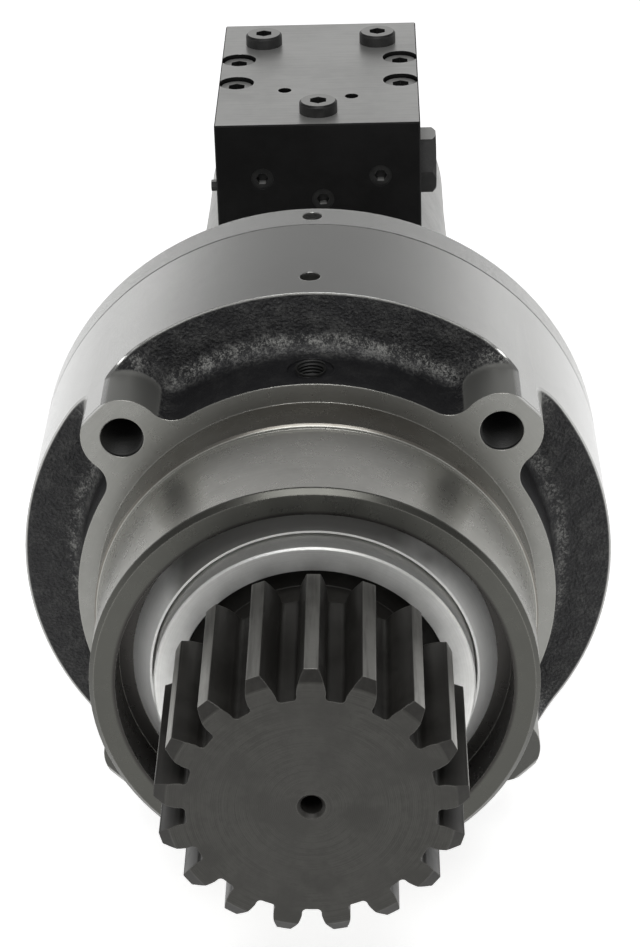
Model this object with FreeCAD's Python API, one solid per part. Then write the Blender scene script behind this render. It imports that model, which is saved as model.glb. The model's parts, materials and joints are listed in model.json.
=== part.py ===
import FreeCAD, Part
import math
import os

V = FreeCAD.Vector

# Swing gearbox with its motor, millimetres.
# The shaft axis is +Y, the pinion points to -Y, and +Z is up.
# The origin is the centre of the mounting flange's face.
# Angles round the shaft are measured from +Z towards +X.

# Clearances
RUN = 0.05          # radial running fit of a shaft in its hole
AIR = 0.3           # gap between moving faces
FIT = 0.02          # radial gap of a part seated in its own body
BACKLASH = 0.30     # thinning of each tooth at the pitch circle

# Mounting interface
PILOT_R = 95.0
PILOT_LEN = 20.0
SPIGOT_R = 93.0
SPIGOT_LEN = 73.0
EAR_COUNT = 4
EAR_INSET = 17.0        # ear centres inside the rim
EAR_HOLE_R = 9.25
EAR_HOLE_DEPTH = 50.0
EAR_R = 17.7
EAR_OPEN = 17.4         # degrees from straight out where an ear's side leaves its circle
EAR_FILLET = 11.0

# Gear housing
RIM_R = 130.0
NECK_R = 103.5
RIM_FRONT = 33.6
SEAM_BEFORE = 11.5      # from the seam back to the ring gear's end
POCKET_FILLET = 10.0
POCKET_OVER = 25.0
EDGE_CHAMFER = 1.0
SEAM_CHAMFER = 0.4
SPIGOT_CHAMFER = 2.0
SPIGOT_WALL = 11.0
RECESS_DEPTH = 21.0
RECESS_LEDGE = 6.0
SEAL_RADIAL = 9.6
SEAL_WIDTH = 21.0
SEAL_PROUD = 10.0
SEAL_GAP = 1.0
SEAL_FLOOR = 1.5
LIP_GAP = 3.6
CAVITY_BEHIND = 11.5    # from the upper bearing to the gear train's cavity
PORT_Y = 14.5
PORT_R = 6.5
PORT_DEPTH = 16.0
PORT_FACE_R = 10.0
PORT_FACE_DEPTH = 1.2

# Grub screws in the rims
GRUB_R = 4.5
GRUB_LEN = 10.0
GRUB_SUNK = 4.0
GRUB_HEX = 4.0
HOUSING_GRUB_Y = 50.0

# Output pinion
PINION_TEETH = 17
PINION_MODULE = 6.5
PINION_SHIFT = 0.1
PINION_TIP = 0.8        # stub addendum, in modules
PINION_ROOT = 1.1       # dedendum, in modules
PINION_PHASE = 1.43
PINION_TIP_ROUND = 0.8
PINION_FOOT_ROUND = 1.8
PINION_LEN = 73.0
PINION_GAP = 11.5       # from the teeth to the collar
PINION_BEVEL = 5.1
PINION_BEVEL_LEN = 2.7
PINION_NECK_R = 46.0
CENTRE_R = 4.3
CENTRE_DEPTH = 14.0
CENTRE_SINK = 1.5

# Shaft and its seal collar
JOURNAL_R = 50.0
COLLAR_BACKSET = 0.5    # collar's face behind the spigot's
COLLAR_MOUTH_R = 56.0
COLLAR_MOUTH_DEPTH = 10.5
COLLAR_CHAMFER = 0.8
STOP_R = 54.0
STOP_W = 5.0

# Taper roller bearings
CUP_R = 75.0
BEARING_W = 32.0
BEARING_SPACE = 8.0
SHOULDER_H = 7.0        # shoulder between the cups
SPACER_R = 58.0
ROLLER_SHARE = 0.368    # roller's diameter in the bearing's section
ROLLER_COUNT = 18
ROLLER_TILT = 15.0
NUT_R = 64.0
NUT_W = 12.0
NUT_SLOT = 10.0
WASHER_W = 1.6
TAIL_R = 40.0
TAIL_SPLINES = 16

# Gear train
RING_TEETH = 69
RING_INSET = 17.0       # ring gear's outside inside the rim
RING_BACKING = 9.5      # metal outside the pitch circle
RING_LAP = 6.0          # from the second carrier's front to the ring gear
RING_PAST = 0.8         # ring gear past the first planets' pins
CAVITY_INSET = 13.0     # cavity inside the ring gear's outside
PLANETS = 3
HUB_R = 52.0

# Second stage, next to the pinion
SUN2_TEETH = 21
PLANET2_TEETH = 24
CARRIER2_BEHIND = 7.9   # from the lock nut to the carrier
CARRIER2_W = 16.5
CARRIER2_INSET = 12.0   # carrier inside the cavity
PLANET2_W = 22.0
PIN2_R = 13.0
BUSH2_WALL = 3.0

# First stage, next to the motor
SUN1_TEETH = 15
PLANET1_TEETH = 27
CARRIER1_W = 6.0
CARRIER1_INSET = 33.0   # carrier inside the ring gear's outside
WINDOW_R = 13.0
WINDOW_PCD_R = 52.0
PLANET1_W = 14.0
PIN1_R = 11.0
BUSH1_WALL = 3.0
SUN_SHANK_R = 24.0
PIN_HEAD_W = 1.2
PIN_HEAD_LIP = 1.5

# Motor casing, brake side
FLANGE_W = 20.4
BARREL_R = 69.0
BARREL_END_R = 66.0
WEB_W = 11.5
CASING_LIP = 8.0
BRAKE_R = 54.0
BRAKE_WIDE_R = 60.0
JOINT_SCREWS = 12
JOINT_SCREW_R = 4.0
JOINT_SCREW_INSET = 10.0
JOINT_SCREW_DEPTH = 24.0
JOINT_HEAD_R = 6.5
JOINT_HEAD_H = 8.0
JOINT_SINK_R = 7.0
JOINT_SINK_DEPTH = 8.6

# Motor shaft and its bearings
SHAFT_TIP_R = 12.0
SHAFT_R = 17.5
SHAFT_SEAL_R = 28.0
SHAFT_SEAL_W = 7.0
SHAFT_RACE_R = 40.0
SHAFT_SEAT_R = 24.0
SHAFT_ROLLER_R = 4.0
SHAFT_ROLLERS = 10
SHAFT_BEARING_W = 16.0
RACE_LIP = 2.0
SHAFT_REAR_R = 13.0
REAR_RACE_R = 22.0
SHAFT_PAST = 22.0       # shaft past the barrel's end

# Parking brake
BRAKE_HUB_R = 30.0
DISC_R = 50.0
PLATE_IN_R = 34.0
DISC_W = 3.0
DISC_COUNT = 3
BRAKE_TRAVEL = 1.5
PISTON_W = 50.0
SPRING_W = 3.0
SPRING_COUNT = 2
SPRING_SPACE = 17.6
BRAKE_STEP = 15.6       # from the piston's front to the bore's step

# Piston motor
MOTOR_PAST = 8.0        # barrel past the valve block
MOTOR_SHELL = 12.0
MOTOR_WALL = 8.0
SWASH_TILT = 15.0
SWASH_WALL = 2.0
SWASH_MID = 14.5
SWASH_LAP = 12.0        # swash plate's bore inside the race
BLOCK_BEHIND = 56.0     # from the swash plate's back to the cylinder block
BLOCK_FLOOR = 12.0      # cylinder block behind its bores
PISTON_COUNT = 9
PISTON_INSET = 15.0     # pistons' centres inside the block's outside
PISTON_SHORT = 30.0
PISTON_HOLLOW = 30.0
SHOE_W = 5.0
VALVE_PLATE_W = 7.0
KIDNEY_W = 8.0
KIDNEY_BRIDGE = 24.0
COVER_LEN = 48.0
COVER_CHAMFER = 5.0
COVER_SCREWS = 6
COVER_SCREW_R = 3.6
COVER_SCREW_INSET = 6.0
COVER_SCREW_DEPTH = 18.0
COVER_SCREW_START = 30.0
COVER_HEAD_R = 5.9
COVER_HEAD_H = 7.0
COVER_HEAD_SUNK = 10.0

# Valve block on the barrel, with its places along Y counted from its front face
VB_HALF = 51.0
VB_BEHIND = 6.0         # from the brake casing's end to the block
VB_LEN = 148.0
VB_BOTTOM = 62.0
VB_TOP = 120.0
VB_CHAMFER = 0.6
PAD_INSET = 3.0
VB_SCREW_INSET = 9.0
VB_SCREW_ROWS = (60.0, 94.0)
VB_SCREW_R = 5.0
VB_SCREW_REACH = 20.0
VB_HEAD_R = 8.0
VB_HEAD_H = 9.0
VB_SINK_R = 9.0
VB_SINK_DEPTH = 11.0
TOP_PLUG_R = 9.5
TOP_PLUG_H = 6.0
TOP_PLUG_HEX = 8.0
TOP_PLUG_STEM_R = 6.5
TOP_PLUG_STEM = 12.0
TOP_PLUGS = ((-29.5, 118.0), (30.5, 118.0), (0.5, 17.5))
SMALL_HOLES = ((-17.0, 48.0), (17.0, 38.0))
SMALL_HOLE_R = 3.4
SMALL_HOLE_DEPTH = 16.0
FRONT_PLUGS = ((-28.0, 91.5), (31.0, 92.0), (2.0, 80.0))
FRONT_PLUG_R = 5.5
FRONT_PLUG_LEN = 10.0
FRONT_PLUG_SUNK = 0.6
CAP_BEHIND = 25.0
CAP_Z = 90.0
CAP_AF = 28.5
CAP_H = 8.0
CAP_STEM_R = 12.0
CAP_STEM = 22.0
NIPPLE_BEHIND = 8.0
NIPPLE_Z = 85.5
NIPPLE_R = 2.2
NIPPLE_AF = 5.0
NIPPLE_H = 3.0
NIPPLE_STEM = 8.0
WORK_PORT_X = 24.0
WORK_PORT_Z = 94.0
WORK_PORT_R = 12.2
WORK_PORT_DEPTH = 20.0
DRAIN_PORT_R = 9.5
DRAIN_PORT_DEPTH = 7.0
DRAIN_BEHIND = 52.0

# Sizes that follow, from the spigot's face back to the end cover
EAR_PCD_R = RIM_R - EAR_INSET
RING_R = RIM_R - RING_INSET
JOINT_SCREW_PCD_R = RIM_R - JOINT_SCREW_INSET
TRAIN_MODULE = 2 * (RING_R - RING_BACKING) / RING_TEETH
CAVITY_R = RING_R - CAVITY_INSET
CARRIER2_R = CAVITY_R - CARRIER2_INSET
CARRIER1_R = RING_R - CARRIER1_INSET
SHOULDER_R = CUP_R - SHOULDER_H
ROLLER_R = ROLLER_SHARE * (CUP_R - JOURNAL_R) / 2
CENTRE2 = TRAIN_MODULE * (SUN2_TEETH + PLANET2_TEETH) / 2
CENTRE1 = TRAIN_MODULE * (SUN1_TEETH + PLANET1_TEETH) / 2
TOOTH_PITCH = 360.0 / RING_TEETH
EAR_ANGLES = [45 + 90 * i for i in range(EAR_COUNT)]

RECESS_R = SPIGOT_R - SPIGOT_WALL
SEAL_R = RECESS_R - RECESS_LEDGE
COLLAR_R = SEAL_R - SEAL_RADIAL
LIP_R = COLLAR_R + LIP_GAP
SPIGOT_FRONT = -SPIGOT_LEN
COLLAR_FRONT = SPIGOT_FRONT + COLLAR_BACKSET
COLLAR_SEAT = COLLAR_FRONT + COLLAR_MOUTH_DEPTH
STOP_FRONT = COLLAR_SEAT - STOP_W
PINION_BACK = COLLAR_FRONT - PINION_GAP
PINION_FRONT = PINION_BACK - PINION_LEN
RECESS_FLOOR = SPIGOT_FRONT + RECESS_DEPTH
SEAL_BACK = RECESS_FLOOR - SEAL_PROUD + SEAL_WIDTH
LOWER_FRONT = SEAL_BACK + SEAL_FLOOR
LOWER_BACK = LOWER_FRONT + BEARING_W
UPPER_FRONT = LOWER_BACK + BEARING_SPACE
UPPER_BACK = UPPER_FRONT + BEARING_W
WASHER_BACK = UPPER_BACK + WASHER_W
NUT_BACK = WASHER_BACK + NUT_W
CAVITY_FRONT = UPPER_BACK + CAVITY_BEHIND

CARRIER2_FRONT = NUT_BACK + CARRIER2_BEHIND
CARRIER2_BACK = CARRIER2_FRONT + CARRIER2_W
PLANET2_FRONT = CARRIER2_BACK + AIR
PLANET2_BACK = PLANET2_FRONT + PLANET2_W
PIN2_BACK = PLANET2_BACK + AIR + PIN_HEAD_W
CARRIER1_FRONT = PIN2_BACK + 2 * AIR
CARRIER1_BACK = CARRIER1_FRONT + CARRIER1_W
PLANET1_FRONT = CARRIER1_BACK + AIR
PLANET1_BACK = PLANET1_FRONT + PLANET1_W
PIN1_BACK = PLANET1_BACK + AIR + PIN_HEAD_W
RING_FRONT = CARRIER2_FRONT + RING_LAP
RING_REAR = PIN1_BACK + RING_PAST
JOINT_Y = RING_REAR - SEAM_BEFORE

FLANGE_BACK = JOINT_Y + FLANGE_W
COVER_GRUB_Y = JOINT_Y + FLANGE_W / 2 - 0.8
WEB_FRONT = RING_REAR + 1.0
WEB_BACK = WEB_FRONT + WEB_W
FRONT_RACE_Y = WEB_BACK
FRONT_RACE_BACK = FRONT_RACE_Y + SHAFT_BEARING_W
STACK_FRONT = FRONT_RACE_BACK + 4.0
PITCH_STEP = 2 * (DISC_W + 0.2)
PISTON_FRONT = STACK_FRONT + DISC_COUNT * PITCH_STEP + DISC_W + 0.2
PISTON_BACK = PISTON_FRONT + PISTON_W
BRAKE_STEP_Y = PISTON_FRONT + BRAKE_STEP
CASING_END = PISTON_BACK + SPRING_SPACE + CASING_LIP

VB_FRONT = CASING_END + VB_BEHIND
VB_BACK = VB_FRONT + VB_LEN
VB_SCREW_X = VB_HALF - VB_SCREW_INSET
PAD_HALF = VB_HALF - PAD_INSET
PAD_FRONT = VB_FRONT + PAD_INSET
CAP_Y = VB_FRONT + CAP_BEHIND
NIPPLE_Y = VB_FRONT + NIPPLE_BEHIND
DRAIN_PORT_Y = CASING_END + DRAIN_BEHIND
MOTOR_END = VB_BACK + MOTOR_PAST
COVER_END = MOTOR_END + COVER_LEN
SHAFT_END = MOTOR_END + SHAFT_PAST

MAIN_FRONT = CASING_END + MOTOR_WALL
MAIN_BACK = MAIN_FRONT + SHAFT_BEARING_W
SWASH_BACK = MAIN_BACK + SWASH_WALL
BLOCK_FRONT = SWASH_BACK + BLOCK_BEHIND
VALVE_FRONT = MOTOR_END - VALVE_PLATE_W
BLOCK_BACK = VALVE_FRONT - AIR
MOTOR_BORE_R = BARREL_END_R - MOTOR_SHELL
VALVE_PLATE_R = MOTOR_BORE_R - 4.0
BLOCK_R = MOTOR_BORE_R - 6.0
PISTON_PCD_R = BLOCK_R - PISTON_INSET
SHOE_R = PISTON_PCD_R * math.sin(math.pi / PISTON_COUNT) - 0.8
PISTON_R = SHOE_R - 2.5
COVER_SCREW_PCD_R = BARREL_END_R - COVER_SCREW_INSET


# Helpers
def at(angle, radius, y):
    """Point at an angle from +Z towards +X round the shaft axis."""
    a = math.radians(angle)
    return V(radius * math.sin(a), y, radius * math.cos(a))


def turned(points):
    """Solid of revolution about the shaft axis from (radius, y) points."""
    ring = [V(r, y, 0) for r, y in points]
    face = Part.Face(Part.makePolygon(ring + ring[:1]))
    return face.revolve(V(0, 0, 0), V(0, 1, 0), 360)


def tube(outer, inner, front, back):
    """Plain ring along the shaft axis."""
    return turned([(inner, front), (outer, front), (outer, back), (inner, back)])


def rod(radius, front, back, angle=0.0, offset=0.0):
    """Cylinder parallel to the shaft axis."""
    return Part.makeCylinder(radius, back - front, at(angle, offset, front), V(0, 1, 0))


def hexagon(across, height, base, axis):
    """Hexagonal prism from base along axis."""
    z = V(axis)
    side = V(0, 1, 0) if abs(z.y) < 0.5 else V(1, 0, 0)
    up = z.cross(side)
    corners = []
    for i in range(6):
        a = math.radians(60 * i)
        corners.append(base + (side * math.cos(a) + up * math.sin(a)) * (across / math.sqrt(3)))
    return Part.Face(Part.makePolygon(corners + corners[:1])).extrude(z * height)


def around(shape, count, start=0.0):
    """Copies of a shape spread evenly round the shaft axis."""
    copies = []
    for i in range(count):
        copy = shape.copy()
        copy.rotate(V(0, 0, 0), V(0, 1, 0), start + 360.0 * i / count)
        copies.append(copy)
    return copies


def save(name, shape):
    shape.exportStep("parts/%s.step" % name)


# Gear teeth
def involute_point(base, r):
    """Roll angle offset of the involute at radius r, in radians."""
    a = math.acos(min(1.0, base / r))
    return math.tan(a) - a


def gear_outline(teeth, module, y, shift=0.0, tip=1.0, root=1.25, phase=0.0, inside=False,
                 tip_round=0.0, foot_round=0.0):
    """Closed wire of an involute gear, tooth centre (gap centre if inside) at the phase angle."""
    pitch = module * teeth / 2
    base = pitch * math.cos(math.radians(20))
    sign = -1 if inside else 1
    high = pitch + module * (tip + shift) * sign
    low = pitch - module * (root - shift) * sign
    out_r, in_r = max(high, low), min(high, low)
    thick = module * (math.pi / 2 + 2 * shift * math.tan(math.radians(20)))
    half = (thick - BACKLASH * sign) / (2 * pitch)
    inv_pitch = involute_point(base, pitch)
    start = max(in_r, base * 1.0005)
    footed = start - in_r > 0.01
    floor = in_r if footed else start
    end = out_r - tip_round

    def flank(r):
        return math.degrees(half - involute_point(base, r) + inv_pitch)

    def rounded(a, radius, side, from_r, to_r):
        """Corner arc from (a, from_r) towards the circle to_r, turning by side."""
        spread = math.degrees(radius / to_r) * side
        near = to_r + (from_r - to_r) * 0.29
        return Part.Arc(at(a, from_r, y), at(a + 0.29 * spread, near, y), at(a + spread, to_r, y)).toShape()

    step = 360.0 / teeth
    a_in, a_mid, a_end = flank(start), flank((start + end) / 2), flank(end)
    a_land = a_end - math.degrees(tip_round / out_r)
    a_foot = a_in + math.degrees(foot_round / floor)
    foot_r = floor + foot_round
    edges = []
    for i in range(teeth):
        c = phase + i * step
        if footed:
            edges.append(Part.LineSegment(at(c - a_in, foot_r, y), at(c - a_in, start, y)).toShape())
        edges.append(Part.Arc(at(c - a_in, start, y), at(c - a_mid, (start + end) / 2, y),
                              at(c - a_end, end, y)).toShape())
        if tip_round:
            edges.append(rounded(c - a_end, tip_round, 1, end, out_r))
        edges.append(Part.Arc(at(c - a_land, out_r, y), at(c, out_r, y), at(c + a_land, out_r, y)).toShape())
        if tip_round:
            edges.append(rounded(c + a_end, tip_round, -1, end, out_r))
        edges.append(Part.Arc(at(c + a_end, end, y), at(c + a_mid, (start + end) / 2, y),
                              at(c + a_in, start, y)).toShape())
        if footed:
            edges.append(Part.LineSegment(at(c + a_in, start, y), at(c + a_in, foot_r, y)).toShape())
        if foot_round:
            edges.append(rounded(c + a_in, foot_round, 1, foot_r, floor))
        edges.append(Part.Arc(at(c + a_foot, floor, y), at(c + step / 2, floor, y),
                              at(c + step - a_foot, floor, y)).toShape())
        if foot_round:
            edges.append(rounded(c + step - a_in, foot_round, -1, foot_r, floor))
    return Part.Wire(edges)


def gear(teeth, module, front, back, **more):
    """Spur gear between two planes."""
    return Part.Face(gear_outline(teeth, module, front, **more)).extrude(V(0, back - front, 0))


def planet_phase(teeth, at_angle):
    """Angle of a planet's tooth so that it fills the ring gear's gap at its place."""
    ring_r = TRAIN_MODULE * RING_TEETH / 2
    planet_r = TRAIN_MODULE * teeth / 2
    nearest = round(at_angle / TOOTH_PITCH) * TOOTH_PITCH
    return at_angle + (nearest - at_angle) * ring_r / planet_r


def sun_phase(sun, planet):
    """Angle of a sun's tooth so that it meshes with the planet at angle zero."""
    back = (180.0 - planet_phase(planet, 0.0)) / (360.0 / planet)
    gap = (math.floor(back) + 0.5) * 360.0 / planet + planet_phase(planet, 0.0) - 180.0
    return -gap * planet / sun


# Gear housing
def arc_about(centre, radius, start, end):
    """Arc of under half a turn from start to end."""
    way = (start + end) * 0.5 - centre
    return Part.Arc(start, centre + way * (radius / way.Length), end)


def ear_side(ear_angle, side):
    """Points of an ear's outline: on the neck, fillet centre, on the ear, ear centre, at the rim, past it."""
    neck, ear = NECK_R + EAR_FILLET, EAR_R + EAR_FILLET
    turn = math.degrees(math.acos((neck ** 2 + EAR_PCD_R ** 2 - ear ** 2) / (2 * neck * EAR_PCD_R)))
    middle = at(ear_angle, EAR_PCD_R, 0)
    centre = at(ear_angle + side * turn, neck, 0)
    on_neck = centre * (NECK_R / neck)
    on_ear = middle + (centre - middle) * (EAR_R / ear)
    at_rim = middle + at(ear_angle + side * EAR_OPEN, EAR_R, 0)
    past = at_rim + at(ear_angle, POCKET_OVER, 0)
    return on_neck, centre, on_ear, middle, at_rim, past


def pocket_tool(ear_angle):
    """Cast pocket from one ear to the next, with rounded foot edges."""
    next_angle = ear_angle + 360.0 / EAR_COUNT
    middle_angle = (ear_angle + next_angle) / 2
    neck_a, round_a, ear_a, centre_a, rim_a, past_a = ear_side(ear_angle, 1)
    neck_b, round_b, ear_b, centre_b, rim_b, past_b = ear_side(next_angle, -1)
    outline = [
        Part.LineSegment(past_a, rim_a),
        arc_about(centre_a, EAR_R, rim_a, ear_a),
        arc_about(round_a, EAR_FILLET, ear_a, neck_a),
        Part.Arc(neck_a, at(middle_angle, NECK_R, 0), neck_b),
        arc_about(round_b, EAR_FILLET, neck_b, ear_b),
        arc_about(centre_b, EAR_R, ear_b, rim_b),
        Part.LineSegment(rim_b, past_b),
        Part.Arc(past_b, at(middle_angle, RIM_R + 2 * POCKET_OVER, 0), past_a),
    ]
    face = Part.Face(Part.Wire([e.toShape() for e in outline]))
    tool = face.extrude(V(0, RIM_FRONT + 1, 0))
    tool.translate(V(0, -1, 0))
    foot = []
    for edge in tool.Edges:
        nearest = min(math.hypot(v.X, v.Z) for v in edge.Vertexes)
        if edge.BoundBox.YMin > RIM_FRONT - 0.01 and nearest < RIM_R:
            foot.append(edge)
    return tool.makeFillet(POCKET_FILLET, foot)


def gear_housing():
    """Casting with pilot, ears, pockets, bearing seats and the ring gear's seat."""
    c, s = EDGE_CHAMFER, SPIGOT_CHAMFER
    body = turned([
        (RECESS_R, SPIGOT_FRONT), (SPIGOT_R - s, SPIGOT_FRONT), (SPIGOT_R, SPIGOT_FRONT + s),
        (SPIGOT_R, -PILOT_LEN), (PILOT_R - c, -PILOT_LEN), (PILOT_R, -PILOT_LEN + c),
        (PILOT_R, 0), (RIM_R, 0), (RIM_R, JOINT_Y - SEAM_CHAMFER), (RIM_R - SEAM_CHAMFER, JOINT_Y),
        (RING_R, JOINT_Y), (RING_R, RING_FRONT), (CAVITY_R, RING_FRONT), (CAVITY_R, CAVITY_FRONT),
        (CUP_R, CAVITY_FRONT), (CUP_R, UPPER_FRONT), (SHOULDER_R, UPPER_FRONT),
        (SHOULDER_R, LOWER_BACK), (CUP_R, LOWER_BACK), (CUP_R, LOWER_FRONT),
        (LIP_R, LOWER_FRONT), (LIP_R, SEAL_BACK), (SEAL_R, SEAL_BACK), (SEAL_R, RECESS_FLOOR),
        (RECESS_R, RECESS_FLOOR),
    ])
    tools = [pocket_tool(a) for a in EAR_ANGLES]
    tools += [rod(EAR_HOLE_R, -1, EAR_HOLE_DEPTH, a, EAR_PCD_R) for a in EAR_ANGLES]
    tools.append(Part.makeCylinder(PORT_R, PORT_DEPTH, V(0, PORT_Y, NECK_R - PORT_DEPTH), V(0, 0, 1)))
    face = V(0, PORT_Y, NECK_R - PORT_FACE_DEPTH)
    tools.append(Part.makeCylinder(PORT_FACE_R, 2 * PORT_FACE_R, face, V(0, 0, 1)))
    tools.append(grub_hole(HOUSING_GRUB_Y, RIM_R))
    tools += joint_screw_holes()
    return body.cut(tools)


def joint_screw_holes():
    """Holes through the casing's flange into the housing, sunk for the screw heads."""
    hole = rod(JOINT_SCREW_R, JOINT_Y - JOINT_SCREW_DEPTH, FLANGE_BACK + 1, 0, JOINT_SCREW_PCD_R)
    sink = rod(JOINT_SINK_R, FLANGE_BACK - JOINT_SINK_DEPTH, FLANGE_BACK + 1, 0, JOINT_SCREW_PCD_R)
    return around(hole.fuse(sink), JOINT_SCREWS, 180.0 / JOINT_SCREWS)


def grub_hole(y, surface):
    depth = GRUB_SUNK + GRUB_LEN
    return Part.makeCylinder(GRUB_R, depth + 5, V(0, y, surface - depth), V(0, 0, 1))


def grub_screw(y, surface):
    """Socket set screw, sunk below the rim."""
    top = surface - GRUB_SUNK
    body = Part.makeCylinder(GRUB_R - FIT, GRUB_LEN, V(0, y, top - GRUB_LEN), V(0, 0, 1))
    return body.cut(hexagon(GRUB_HEX, 4, V(0, y, top - 4), V(0, 0, 1)))


def oil_seal():
    """Rotary seal: ring with a conical dust shield and a lip that just clears the collar."""
    lip = COLLAR_R + RUN
    gap = COLLAR_R + SEAL_GAP
    front = SEAL_BACK - SEAL_WIDTH
    return turned([
        (lip, RECESS_FLOOR), (gap, RECESS_FLOOR - 2), (gap, front), (gap + 1, front), (SEAL_R, RECESS_FLOOR),
        (SEAL_R, SEAL_BACK), (lip + 4, SEAL_BACK), (lip + 4, RECESS_FLOOR + 4), (lip, RECESS_FLOOR + 2.5),
    ])


# Taper roller bearings
def race_lines(front, flip):
    """Mean roller line of a bearing, as (radius, y) at each end; flip points it the other way."""
    mean_r = (CUP_R + JOURNAL_R) / 2
    half = BEARING_W / 2 - 5.0
    rise = half * math.tan(math.radians(ROLLER_TILT))
    mid = front + BEARING_W / 2
    small, large = (mean_r - rise, mid + half), (mean_r + rise, mid - half)
    if flip:
        small, large = (small[0], mid - half), (large[0], mid + half)
    return small, large


def bearing_cup(front, flip):
    (r1, y1), (r2, y2) = race_lines(front, flip)
    gap = ROLLER_R / math.cos(math.radians(ROLLER_TILT)) + RUN
    slope = (r2 - r1) / (y2 - y1)
    back = front + BEARING_W
    inner_front = r1 + slope * (front + 2 - y1) + gap
    inner_back = r1 + slope * (back - 2 - y1) + gap
    return turned([
        (inner_front, front + 2), (inner_front, front), (CUP_R, front), (CUP_R, back),
        (inner_back, back), (inner_back, back - 2),
    ])


def bearing_cone(front, flip):
    (r1, y1), (r2, y2) = race_lines(front, flip)
    gap = ROLLER_R / math.cos(math.radians(ROLLER_TILT))
    slope = (r2 - r1) / (y2 - y1)
    back = front + BEARING_W
    outer_front = r1 + slope * (front + 4 - y1) - gap
    outer_back = r1 + slope * (back - 4 - y1) - gap
    return turned([
        (JOURNAL_R, front), (outer_front, front), (outer_front, front + 4),
        (outer_back, back - 4), (outer_back, back), (JOURNAL_R, back),
    ])


def bearing_rollers(front, flip):
    """Rollers of one bearing as a group of separate solids."""
    (r1, y1), (r2, y2) = race_lines(front, flip)
    a, b = V(0, y1, r1), V(0, y2, r2)
    roller = Part.makeCylinder(ROLLER_R - FIT, (b - a).Length, a, b - a)
    return Part.makeCompound(around(roller, ROLLER_COUNT))


# Output shaft
def pinion_shaft():
    """Pinion, undercut, stop shoulder, journal, thread and splined tail in one forging."""
    tip_r = PINION_MODULE * (PINION_TEETH / 2 + PINION_TIP + PINION_SHIFT)
    teeth = gear(PINION_TEETH, PINION_MODULE, PINION_FRONT, PINION_BACK, shift=PINION_SHIFT, tip=PINION_TIP,
                 root=PINION_ROOT, phase=PINION_PHASE, tip_round=PINION_TIP_ROUND,
                 foot_round=PINION_FOOT_ROUND)
    blank = turned([
        (0, PINION_FRONT), (tip_r - PINION_BEVEL, PINION_FRONT),
        (tip_r + 0.01, PINION_FRONT + PINION_BEVEL_LEN), (tip_r + 0.01, PINION_BACK), (0, PINION_BACK),
    ])
    teeth = teeth.common(blank)
    tail_end = CARRIER2_BACK - 0.8
    thread_r = JOURNAL_R - 2.0
    stem = turned([
        (0, PINION_BACK), (PINION_NECK_R, PINION_BACK), (PINION_NECK_R, STOP_FRONT), (STOP_R, STOP_FRONT),
        (STOP_R, COLLAR_SEAT), (JOURNAL_R, COLLAR_SEAT), (JOURNAL_R, UPPER_BACK), (thread_r, UPPER_BACK),
        (thread_r, NUT_BACK), (TAIL_R - 3, NUT_BACK), (TAIL_R - 3, tail_end), (0, tail_end),
    ])
    splines = spline_bars(TAIL_R, TAIL_R - 4, NUT_BACK, CARRIER2_BACK - 3.0, TAIL_SPLINES, 0.0)
    shaft = teeth.fuse([stem] + splines)
    drill = turned([
        (0, PINION_FRONT - 1), (CENTRE_R + CENTRE_SINK + 1, PINION_FRONT - 1),
        (CENTRE_R, PINION_FRONT + CENTRE_SINK), (CENTRE_R, PINION_FRONT + CENTRE_DEPTH),
        (0, PINION_FRONT + CENTRE_DEPTH + 3),
    ])
    groove = tube(TAIL_R + 1, TAIL_R - 3.9, CARRIER2_BACK - 3.0, CARRIER2_BACK - 1.3)
    return shaft.cut([drill, groove]).removeSplitter()


def spline_bars(outer, inner, front, back, count, gap):
    """Straight-sided spline teeth, or the slots for them when gap is above zero."""
    width = math.pi * outer / count - 2 * RUN + 2 * gap
    bar = Part.makeBox(width, back - front, outer - inner + gap, V(-width / 2, front, inner))
    return around(bar, count)


def seal_collar():
    """Ground ring that the seal runs on, pushed against the shaft's stop shoulder."""
    c = COLLAR_CHAMFER
    return turned([
        (JOURNAL_R, COLLAR_SEAT), (COLLAR_MOUTH_R, COLLAR_SEAT), (COLLAR_MOUTH_R, COLLAR_FRONT),
        (COLLAR_R - c, COLLAR_FRONT), (COLLAR_R, COLLAR_FRONT + c), (COLLAR_R, LOWER_FRONT - 3),
        (COLLAR_R - 3, LOWER_FRONT), (JOURNAL_R, LOWER_FRONT),
    ])


def lock_washer():
    ring = tube(NUT_R - 6, JOURNAL_R - 2.0, UPPER_BACK, WASHER_BACK)
    tab = Part.makeBox(NUT_SLOT - 1, WASHER_W, 5, V(-(NUT_SLOT - 1) / 2, UPPER_BACK, NUT_R - 7))
    return ring.fuse(around(tab, 4)).removeSplitter()


def lock_nut():
    """Slotted round nut that sets the bearings."""
    ring = tube(NUT_R, JOURNAL_R - 2.0, WASHER_BACK, NUT_BACK)
    slot = Part.makeBox(NUT_SLOT, NUT_W + 2, 6, V(-NUT_SLOT / 2, WASHER_BACK - 1, NUT_R - 4))
    return ring.cut(around(slot, 4))


# Planetary stages
def second_carrier():
    """Splined hub and plate that the second planets' pins are pressed into."""
    body = turned([
        (TAIL_R - 3 + FIT, CARRIER2_FRONT), (HUB_R, CARRIER2_FRONT), (HUB_R + 4, CARRIER2_FRONT + 4),
        (CARRIER2_R - 3, CARRIER2_FRONT + 4), (CARRIER2_R, CARRIER2_FRONT + 7),
        (CARRIER2_R, CARRIER2_BACK), (HUB_R, CARRIER2_BACK), (HUB_R, CARRIER2_BACK - 3),
        (TAIL_R - 3 + FIT, CARRIER2_BACK - 3),
    ])
    tools = around(rod(PIN2_R, CARRIER2_FRONT - 1, CARRIER2_BACK + 1, 0, CENTRE2), PLANETS)
    tools += spline_bars(TAIL_R + FIT, TAIL_R - 5, CARRIER2_FRONT - 1, CARRIER2_BACK, TAIL_SPLINES, RUN)
    return body.cut(tools)


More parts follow.
